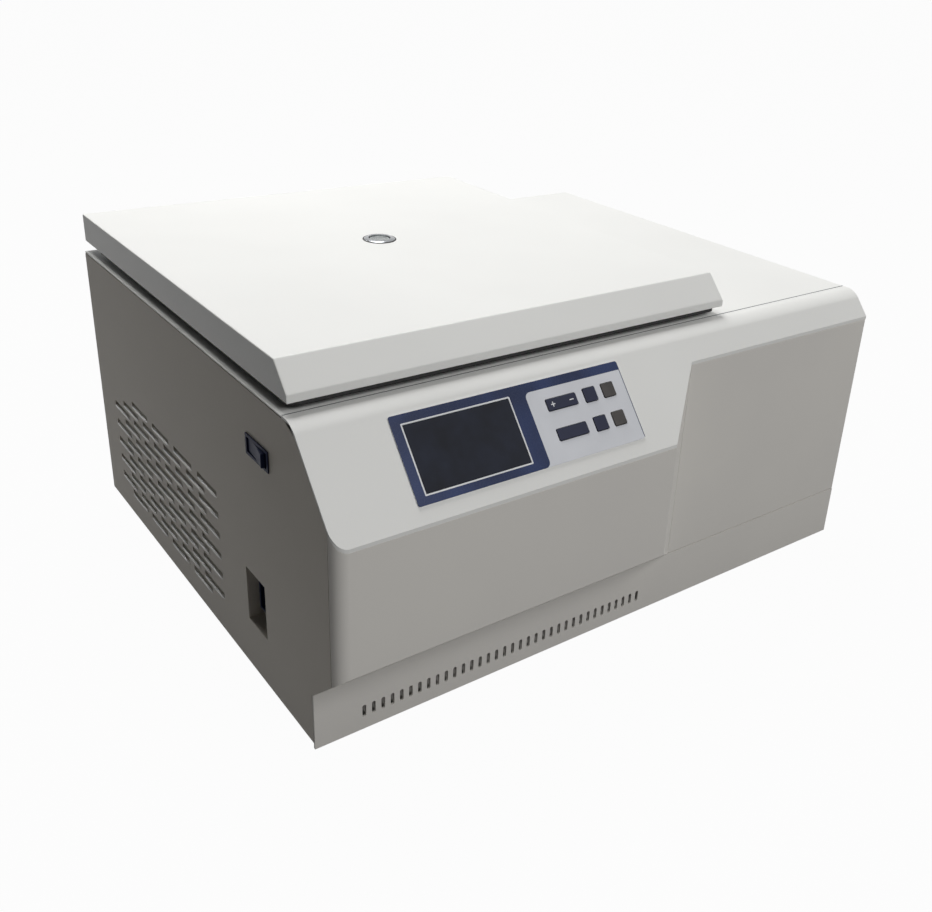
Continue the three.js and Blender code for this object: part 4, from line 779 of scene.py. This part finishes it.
class OBJECT_OT_centrifuge_cabinet(bpy.types.Operator):
    """Shows the cabinet's sheets with rounded folds, and a grey strip over the joint behind the control panel
    that paints the shadow of its gap
    """
    bl_idname = "object.centrifuge_cabinet"
    bl_label = "Cabinet sheets"

    def execute(self, context):
        sizes = context.scene.centrifuge_sizes
        fold = sizes.fold / MM
        # Only edges within this much of the top get the wide bend
        bend_band = 13.0
        dress("control_panel", "White powder coat", fold, bend_mm=sizes.bend / MM,
              bend_over=at(0.0, 0.0, DECK_TOP - bend_band).z)
        for node in ("deck", "right_top_cover"):
            dress(node, "White powder coat", fold)
        # The front sheets carry the front coat, whose darker tone is painted shade.
        for node in ("console_front", "right_front_panel", "base_pan"):
            dress(node, "Front shade powder coat", fold)
        # A thin grey strip over the seam paints the shadow of the narrow gap between panel and top cover.
        end_gap, half, thick = 0.6, 0.55, 0.1
        seam = (extent("control_panel")[1].y + DECK_FRONT) / 2
        outline = oblong(end_gap, seam - half, BODY_WIDTH - end_gap, seam + half)
        mesh = plate([outline], thick, Matrix.Translation(at(0.0, 0.0, DECK_TOP)))
        piece("panel_joint_shadow_strip", mesh, "Grey silicone rubber", "housing")
        return {"FINISHED"}


class OBJECT_OT_centrifuge_louvres(bpy.types.Operator):
    """Rolls the lower lip of each louvre outwards with a geometry tree"""
    bl_idname = "object.centrifuge_louvres"
    bl_label = "Louvre lips"

    def execute(self, context):
        sizes = context.scene.centrifuge_sizes
        radius, drop = sizes.lip_radius / MM, sizes.lip_drop / MM
        start, tail, web, columns = 171.0, 32.5, 12.8, 5
        base, rise = 33.0, 10.15
        pitch = (BODY_DEPTH - start - tail) / columns
        for side, x, rows in (("left", 0.0, 12), ("right", BODY_WIDTH - radius, 6)):
            places = []
            for row in range(rows):
                # Every other row starts half a pitch later with one louvre less; the top row lacks its last
                stepped = 1 - row % 2
                lacking = 1 if row == rows - 1 else 0
                for column in range(columns - stepped - lacking):
                    y = start + (column + stepped / 2) * pitch + (pitch - web) / 2
                    places.append(at(x, y, base + row * rise - drop))
            mesh = grown(lip_tree(), places, {
                "Length": (pitch - web) * MM, "Radius": sizes.lip_radius,
                "Material": matter("Gloss white enamel"),
            })
            piece(f"louvre_lips_{side}", mesh, None, "housing")
        return {"FINISHED"}


class OBJECT_OT_centrifuge_lid(bpy.types.Operator):
    """Shows the lid's shell and liner with rounded edges, and makes the black gasket along its edge, a seal
    whose black also paints the shade in the gap under the lid
    """
    bl_idname = "object.centrifuge_lid"
    bl_label = "Lid"

    def execute(self, context):
        sizes = context.scene.centrifuge_sizes
        dress("lid_shell", "White powder coat", sizes.lid_fold / MM, steps=3)
        dress("lid_liner", "Brushed stainless steel", sizes.liner_fold / MM)
        # The gasket is a seal, and its black also paints the deep shade in the gap between lid and deck.
        inset, hinge_gap, width, outer = 3.5, 11.0, 7.0, 9.0
        thick, gap = 4.3, 0.1
        low, high = extent("lid_shell")
        left, right, front = low.x + inset, high.x - inset, DECK_FRONT
        back = extent("hinge_leaf_lid")[0].y - hinge_gap
        inner = outer - width
        outline = (
            [(left, back)]
            + arc((left + outer, front + outer), outer, 180.0, 270.0)
            + arc((right - outer, front + outer), outer, 270.0, 360.0)
            + [(right, back), (right - width, back)]
            + arc((right - outer, front + outer), inner, 0.0, -90.0)
            + arc((left + outer, front + outer), inner, 270.0, 180.0)
            + [(left + width, back)]
        )
        mesh = plate([outline], thick, Matrix.Translation(at(0.0, 0.0, SHELL_FOOT - gap - thick)))
        piece("lid_gasket_and_gap_shade", mesh, "Black rubber", "lid")
        return {"FINISHED"}


class OBJECT_OT_centrifuge_sight_glass(bpy.types.Operator):
    """Makes the ring, seat, sleeve and glass of the lid's sight hole; the seat's black also paints the shadow
    round the ring, and the black sleeve paints the dark chamber seen through the glass
    """
    bl_idname = "object.centrifuge_sight_glass"
    bl_label = "Sight glass"

    def execute(self, context):
        foot, top = (corner.z for corner in extent("sight_ring"))
        flange = extent("sight_ring")[1].x - CHAMBER_X
        glass_low, glass_high = extent("sight_glass")
        glass, pane = glass_high.x - CHAMBER_X, glass_high.z - glass_low.z
        gap, wall, ledge, bevel, sink, chamfer = 0.3, 1.5, 1.6, 1.4, 4.2, 0.5
        seat_width, seat_height, seat_bevel = 1.1, 0.7, 0.4
        bezel_edge, bezel_round = 5, 0.6
        bore = glass + gap
        tube = bore + wall
        rest = top - sink
        rim = SHELL_TOP + seat_height

        def put(name, profile, material, replaced=(), steps=72):
            piece(name, turned(profile, CHAMBER_X, CHAMBER_Y, steps), material, "lid", replaced)

        ring = [(bore - ledge, rest - ledge), (bore - ledge, rest), (bore, rest), (bore, top),
                (flange - bevel, top), (flange, rim), (flange, SHELL_TOP + gap), (tube, SHELL_TOP + gap),
                (tube, foot), (bore, foot), (bore, rest - ledge)]
        ring = fillet(ring, bezel_edge, bezel_round)
        put("sight_ring_shown", ring, "Polished chromium", ("sight_ring",))
        # The black rubber seat is a seal under the ring, and its black line also paints the shadow round the
        # ring's foot.
        seat = [(flange, SHELL_TOP), (flange + seat_width, SHELL_TOP), (flange + seat_width, rim - gap),
                (flange + seat_width - seat_bevel, rim), (flange, rim)]
        put("sight_ring_seat_and_shadow", seat, "Black rubber")
        # The black sleeve inside the ring paints the shade of the closed chamber seen through the glass.
        inside, sleeve_wall, sleeve_lift, sleeve_gap = 8.5, 0.35, 2.2, 0.1
        sleeve = oblong(inside, foot + sleeve_lift, inside + sleeve_wall, rest - ledge - sleeve_gap)
        put("sight_shade_sleeve", sleeve, "Black ABS", steps=48)
        under = rest + gap
        lens = [(0.0, under), (glass - chamfer, under), (glass, under + chamfer),
                (glass, under + pane - chamfer), (glass - chamfer, under + pane), (0.0, under + pane)]
        put("sight_glass_shown", lens, "Sight glass", ("sight_glass",))
        return {"FINISHED"}


class OBJECT_OT_centrifuge_print(bpy.types.Operator):
    """Prints the panel film: blue ground, light field round the keys and a white line round the display"""
    bl_idname = "object.centrifuge_print"
    bl_label = "Panel print"

    def execute(self, context):
        line = context.scene.centrifuge_sizes.frame_line / MM
        low, high = slope_extent("panel_inlay")
        left, right, foot, top = low.x, high.x, low.y, high.y
        border, corner, bend = 0.7, 2.0, 5.0
        blue_width, strip_height = 120.0, 7.7
        edge, strip = left + blue_width, top - strip_height
        ground = (
            arc((edge - bend, foot + bend), bend, -90.0, 0.0)
            + arc((edge + bend, strip - bend), bend, 180.0, 90.0)
            + [(right - border, strip), (right - border, foot + corner)]
            + arc((right - corner, foot + corner), corner, -45.0, 0.0)
            + arc((right - corner, top - corner), corner, 0.0, 90.0)
            + arc((left + corner, top - corner), corner, 90.0, 180.0)
            + arc((left + corner, foot + corner), corner, 180.0, 270.0)
        )
        gap, window_corner, line_corner = 0.3, 0.4, 0.9
        screen = slope_extent("screen")
        window = rounded(*outside(*screen, gap), window_corner)
        white = rounded(*outside(*screen, gap + line), line_corner)
        for name, outline, film, lift in (
            ("panel_print_blue", ground, "Blue printed film", high.z),
            ("panel_print_frame", white, "White print", high.z + INK),
        ):
            mesh = plate(ring_of(outline, window), INK, slope_place(0.0, 0.0, lift))
            piece(name, mesh, film, "housing")
        return {"FINISHED"}


class OBJECT_OT_centrifuge_keys(bpy.types.Operator):
    """Rounds the keys and prints the plus and the minus"""
    bl_idname = "object.centrifuge_keys"
    bl_label = "Keys"

    def execute(self, context):
        radius = context.scene.centrifuge_sizes.key_round / MM
        low, high = slope_extent("key_rocker_upper")
        level = slope_place(0.0, 0.0, high.z - INK).inverted()

        def crown(edge):
            return all((level @ vert.co).z > 0.0 for vert in edge.verts)

        for row in ("upper", "lower"):
            for column in ("rocker", "middle", "right"):
                finish = "Grey brown key plastic" if column == "right" else "Dark blue key plastic"
                dress(f"key_{column}_{row}", finish, radius, least_mm=0.0, steps=3, within=crown)
        arm, half, plus_out, minus_out = 2.1, 0.42, 9.3, 9.5
        middle = (low + high) / 2
        plus = [(-arm, -half), (-half, -half), (-half, -arm), (half, -arm), (half, -half), (arm, -half),
                (arm, half), (half, half), (half, arm), (-half, arm), (-half, half), (-arm, half)]
        minus = oblong(-arm, -half, arm, half)
        marks = join([
            plate([plus], INK, slope_place(middle.x - plus_out, middle.y, high.z)),
            plate([minus], INK, slope_place(middle.x + minus_out, middle.y, high.z)),
        ])
        piece("key_marks", marks, "White print", "key_rocker_upper")
        return {"FINISHED"}


class OBJECT_OT_centrifuge_switch(bpy.types.Operator):
    """Rounds the mains switch and the power inlet"""
    bl_idname = "object.centrifuge_switch"
    bl_label = "Mains switch"

    def execute(self, context):
        for node, radius, least, steps in (
            ("switch_frame", 0.35, 6.0, 2), ("switch_rocker", 0.6, 3.0, 3), ("power_inlet", 0.4, 6.0, 2),
        ):
            dress(node, "Dark blue switch plastic", radius, least_mm=least, steps=steps)
        return {"FINISHED"}


class OBJECT_OT_centrifuge_chamber(bpy.types.Operator):
    """Makes the spun bowl with its rounded floor, rolled rim and raised hole for the shaft"""
    bl_idname = "object.centrifuge_chamber"
    bl_label = "Chamber"

    def execute(self, context):
        low, high = extent("chamber_bowl")
        foot, top, rim = low.z, high.z, high.x - CHAMBER_X
        flange, hole, collar, facets = 12.0, 24.0, 8.0, 144
        sheet, wall = BOWL_SHEET, rim - flange
        bowl = [(hole, foot), (wall, foot), (wall, top - sheet), (rim, top - sheet), (rim, top),
                (wall - sheet, top), (wall - sheet, foot + sheet), (hole + sheet, foot + sheet),
                (hole + sheet, foot + collar), (hole, foot + collar)]
        # Rounded in turn: the floor's edge inside, the bend of the rim, and the floor's edge outside
        for corner, radius, steps in ((6, 11.0, 8), (5, 1.2, 3), (1, 12.5, 8)):
            bowl = fillet(bowl, corner, radius, steps)
        mesh = turned(bowl, CHAMBER_X, CHAMBER_Y, facets)
        piece("chamber_bowl_shown", mesh, "Spun stainless steel", "housing", ("chamber_bowl",))
        return {"FINISHED"}


class OBJECT_OT_centrifuge_rotor(bpy.types.Operator):
    """Makes the rotor's yoke, its buckets with their ears, and the cap nut"""
    bl_idname = "object.centrifuge_rotor"
    bl_label = "Rotor"

    def execute(self, context):
        yoke_round, yoke_least, nut_round, nut_least, facet_deg = 0.9, 5.0, 0.8, 2.0, 30.0
        dress("rotor_yoke", "Anodised aluminium", yoke_round, least_mm=yoke_least, sharp_deg=facet_deg)
        outer, wall, floor, rise, facets = 32.0, 2.5, 5.0, 13.0, 64
        ear_width, ear_height, ear_corner, ear_thick = 18.0, 20.0, 4.5, 5.35
        ear_reach, ear_top, bore, bore_sides = 31.6, 12.0, 4.4, 24
        hole = arc((0.0, 0.0), bore, 0.0, 360.0 - 360.0 / bore_sides, bore_sides - 1)
        ear = rounded(-ear_width / 2, ear_top - ear_height, ear_width / 2, ear_top, ear_corner)
        for number in range(4):
            node = f"bucket_{number + 1}"
            low, high = extent(node)
            x, y = ((low + high) / 2).xy
            foot, top = low.z, high.z
            cup = [(0.0, foot), (outer, foot), (outer, top), (outer - wall, top),
                   (outer - wall, foot + floor), (0.0, foot + floor)]
            # Rounded in turn: the floor's edge inside, both edges of the mouth, and the floor's edge outside
            for corner, radius, steps in ((4, 7.0, 6), (3, 0.9, 3), (2, 0.9, 3), (1, 9.0, 6)):
                cup = fillet(cup, corner, radius, steps)
            parts = [turned(cup, x, y, facets)]
            turn = number * math.pi / 2
            for side in (-1.0, 1.0):
                out = Vector((-math.sin(turn), math.cos(turn), 0.0)) * side
                up = Vector((0.0, 0.0, 1.0))
                basis = Matrix((up.cross(out), up, out)).transposed().to_4x4()
                spot = at(x, y, top - rise) + out * ear_reach * MM
                parts.append(plate(ring_of(ear, hole), ear_thick, Matrix.Translation(spot) @ basis))
            piece(f"{node}_shown", join(parts), "Brushed stainless steel", node, (node,))
        dress("rotor_nut", "Polished chromium", nut_round, least_mm=nut_least, sharp_deg=facet_deg)
        return {"FINISHED"}


class OBJECT_OT_centrifuge_screws(bpy.types.Operator):
    """Sets the cabinet's, lid's and hinge's screws with a geometry tree"""
    bl_idname = "object.centrifuge_screws"
    bl_label = "Screws"

    def execute(self, context):
        sizes = context.scene.centrifuge_sizes
        tree = screw_tree()
        up, down, back = (0.0, 0.0, 1.0), (0.0, 0.0, -1.0), (0.0, 1.0, 0.0)
        height_share, recess_share = 0.42, 0.28

        def grid(across, along, level):
            return [at(x, y, level) for x in across for y in along]

        inset, low_row, high_row = 13.0, 13.5, 262.0
        step = (BODY_WIDTH - 2 * inset) / (sizes.rear_screws - 1)
        rear = [at(inset + number * step, BODY_DEPTH, level)
                for number in range(sizes.rear_screws) for level in (low_row, high_row)]
        foot_dish = 2.0
        feet = []
        for side in ("left", "right"):
            for end in ("front", "rear"):
                low, high = extent(f"foot_{end}_{side}")
                x, y = ((low + high) / 2).xy
                feet.append(at(x, y, low.z + foot_dish))
        hinge_row, leaf_rise, leaf_drop, hinge_pitch = 470.5, 1.8, 1.8, 64.0
        leaf_row = [CHAMBER_X + number * hinge_pitch for number in range(-2, 3)]
        lid_leaf_outs = (18.0, 82.0, 144.0)
        lid_leaf_row = [CHAMBER_X + side * out for side in (-1.0, 1.0) for out in lid_leaf_outs]
        liner_sides, liner_rows = (16.0, 423.0), (60.0, 190.0, 320.0, 440.0)
        liner_front, liner_front_row = (110.0, 330.0), 44.0
        liner = grid(liner_sides, liner_rows, SHELL_FOOT) + grid(liner_front, [liner_front_row], SHELL_FOOT)
        deck_sides, deck_rows = (16.0, 420.0), (56.0, 270.0, 452.0)
        for name, body, places, facing, size_share in (
            ("rear_screws", "housing", rear, back, 1.0),
            ("foot_screws", "housing", feet, down, 1.2),
            ("deck_screws", "housing", grid(deck_sides, deck_rows, DECK_TOP), up, 1.0),
            ("hinge_screws_deck", "housing", grid(leaf_row, [hinge_row], DECK_TOP + leaf_rise), up, 0.8),
            ("hinge_screws_lid", "lid", grid(lid_leaf_row, [hinge_row], SHELL_FOOT - leaf_drop), down, 0.8),
            ("liner_screws", "lid", liner, down, 0.9),
        ):
            radius = sizes.screw_radius * size_share
            mesh = grown(tree, places, {
                "Head radius": radius, "Head height": radius * height_share,
                "Recess width": radius * recess_share, "Facing": facing,
                "Material": matter("Zinc plated steel"),
            })
            piece(name, mesh, None, body)
        return {"FINISHED"}


class OBJECT_OT_centrifuge_stage(bpy.types.Operator):
    """Sets the floor, the soft lamps, the white surround and the camera"""
    bl_idname = "object.centrifuge_stage"
    bl_label = "Studio"

    def execute(self, context):
        scene = context.scene
        studio = scene.centrifuge_studio
        white = (1.0, 1.0, 1.0, 1.0)

        reach, glow_share = 30.0, 0.97
        floor_mesh = bpy.data.meshes.new("studio_floor")
        corners = [(x, y, 0.0) for x, y in oblong(-reach, -reach, reach, reach)]
        floor_mesh.from_pydata(corners, [], [(0, 1, 2, 3)])
        floor = bpy.data.objects.new("studio_floor", floor_mesh)
        scene.collection.objects.link(floor)
        material, tree = new_material("White backdrop paper")
        paper = add(tree, "ShaderNodeBsdfDiffuse", {"Color": linear(0x8C8C8C)})
        glow = add(tree, "ShaderNodeEmission", {"Color": white, "Strength": 1.0})
        lit = share(tree, seen_straight(tree), glow_share)
        mixed = add(tree, "ShaderNodeMixShader", {0: lit, 1: paper.outputs[0], 2: glow.outputs[0]})
        add(tree, "ShaderNodeOutputMaterial", {"Surface": mixed.outputs[0]})
        floor_mesh.materials.append(material)

        middle, left_flank = (0.0, 0.0, 0.2), (-0.31, 0.1, 0.15)
        for name, place, target, size, power in (
            ("overhead_softbox", (0.1, 0.8, 2.1), middle, 1.0, studio.top_power),
            ("rear_strip", (-0.43, 1.45, 1.3), left_flank, 0.3, studio.rear_power),
            ("front_softbox", (0.25, -2.5, 2.1), middle, 1.4, studio.front_power),
        ):
            light = bpy.data.lights.new(name, "AREA")
            light.shape = "SQUARE"
            light.size = size
            light.energy = power
            thing = bpy.data.objects.new(name, light)
            thing.location = place
            thing.rotation_euler = (Vector(target) - Vector(place)).to_track_quat("-Z", "Y").to_euler()
            scene.collection.objects.link(thing)

        world = bpy.data.worlds.new("Studio surround")
        scene.world = world
        world.use_nodes = True
        tree = world.node_tree
        tree.nodes.clear()
        strength = spread(tree, seen_straight(tree), studio.sky, 1.0, start=0.0, end=1.0)
        sky = add(tree, "ShaderNodeBackground", {"Color": white, "Strength": strength})
        add(tree, "ShaderNodeOutputWorld", {"Surface": sky.outputs[0]})

        eye = at(-273.66, -582.89, 586.1)
        tilt_deg, roll_deg, heading_deg = 65.4272, -2.9182, -36.7466
        camera = bpy.data.cameras.new("Photograph view")
        camera.sensor_width = 36.0
        camera.lens = 40.46
        camera.shift_x = -0.0579
        camera.shift_y = -0.0494
        camera.clip_start = 0.01
        camera.clip_end = 60.0
        thing = bpy.data.objects.new("Photograph view", camera)
        thing.location = eye
        thing.rotation_euler = [math.radians(angle) for angle in (tilt_deg, roll_deg, heading_deg)]
        scene.collection.objects.link(thing)
        scene.camera = thing
        scene.view_settings.view_transform = "Standard"
        return {"FINISHED"}


OPERATORS = (
    OBJECT_OT_centrifuge_finishes,
    OBJECT_OT_centrifuge_cabinet,
    OBJECT_OT_centrifuge_louvres,
    OBJECT_OT_centrifuge_lid,
    OBJECT_OT_centrifuge_sight_glass,
    OBJECT_OT_centrifuge_print,
    OBJECT_OT_centrifuge_keys,
    OBJECT_OT_centrifuge_switch,
    OBJECT_OT_centrifuge_chamber,
    OBJECT_OT_centrifuge_rotor,
    OBJECT_OT_centrifuge_screws,
    OBJECT_OT_centrifuge_stage,
)


class VIEW3D_PT_centrifuge(bpy.types.Panel):
    """The centrifuge's pieces, in the order they are made"""
    bl_idname = "VIEW3D_PT_centrifuge"
    bl_label = "Centrifuge"
    bl_space_type = "VIEW_3D"
    bl_region_type = "UI"
    bl_category = "Centrifuge"

    def draw(self, context):
        scene = context.scene
        for settings in (scene.centrifuge_finish, scene.centrifuge_sizes, scene.centrifuge_studio):
            box = self.layout.box()
            for name in settings.bl_rna.properties.keys():
                if name not in ("rna_type", "name"):
                    box.prop(settings, name)
        column = self.layout.column(align=True)
        for operator in OPERATORS:
            column.operator(operator.bl_idname)


CLASSES = (CentrifugeFinish, CentrifugeSizes, CentrifugeStudio) + OPERATORS + (VIEW3D_PT_centrifuge,)


def register():
    for item in CLASSES:
        bpy.utils.register_class(item)
    bpy.types.Scene.centrifuge_finish = PointerProperty(type=CentrifugeFinish)
    bpy.types.Scene.centrifuge_sizes = PointerProperty(type=CentrifugeSizes)
    bpy.types.Scene.centrifuge_studio = PointerProperty(type=CentrifugeStudio)


def unregister():
    del bpy.types.Scene.centrifuge_studio
    del bpy.types.Scene.centrifuge_sizes
    del bpy.types.Scene.centrifuge_finish
    for item in reversed(CLASSES):
        bpy.utils.unregister_class(item)


def main():
    """Makes every piece in order."""
    register()
    make = bpy.ops.object
    make.centrifuge_finishes()
    make.centrifuge_cabinet()
    make.centrifuge_louvres()
    make.centrifuge_lid()
    make.centrifuge_sight_glass()
    make.centrifuge_print()
    make.centrifuge_keys()
    make.centrifuge_switch()
    make.centrifuge_chamber()
    make.centrifuge_rotor()
    make.centrifuge_screws()
    make.centrifuge_stage()
    bpy.context.view_layer.update()


if __name__ == "__main__":
    main()
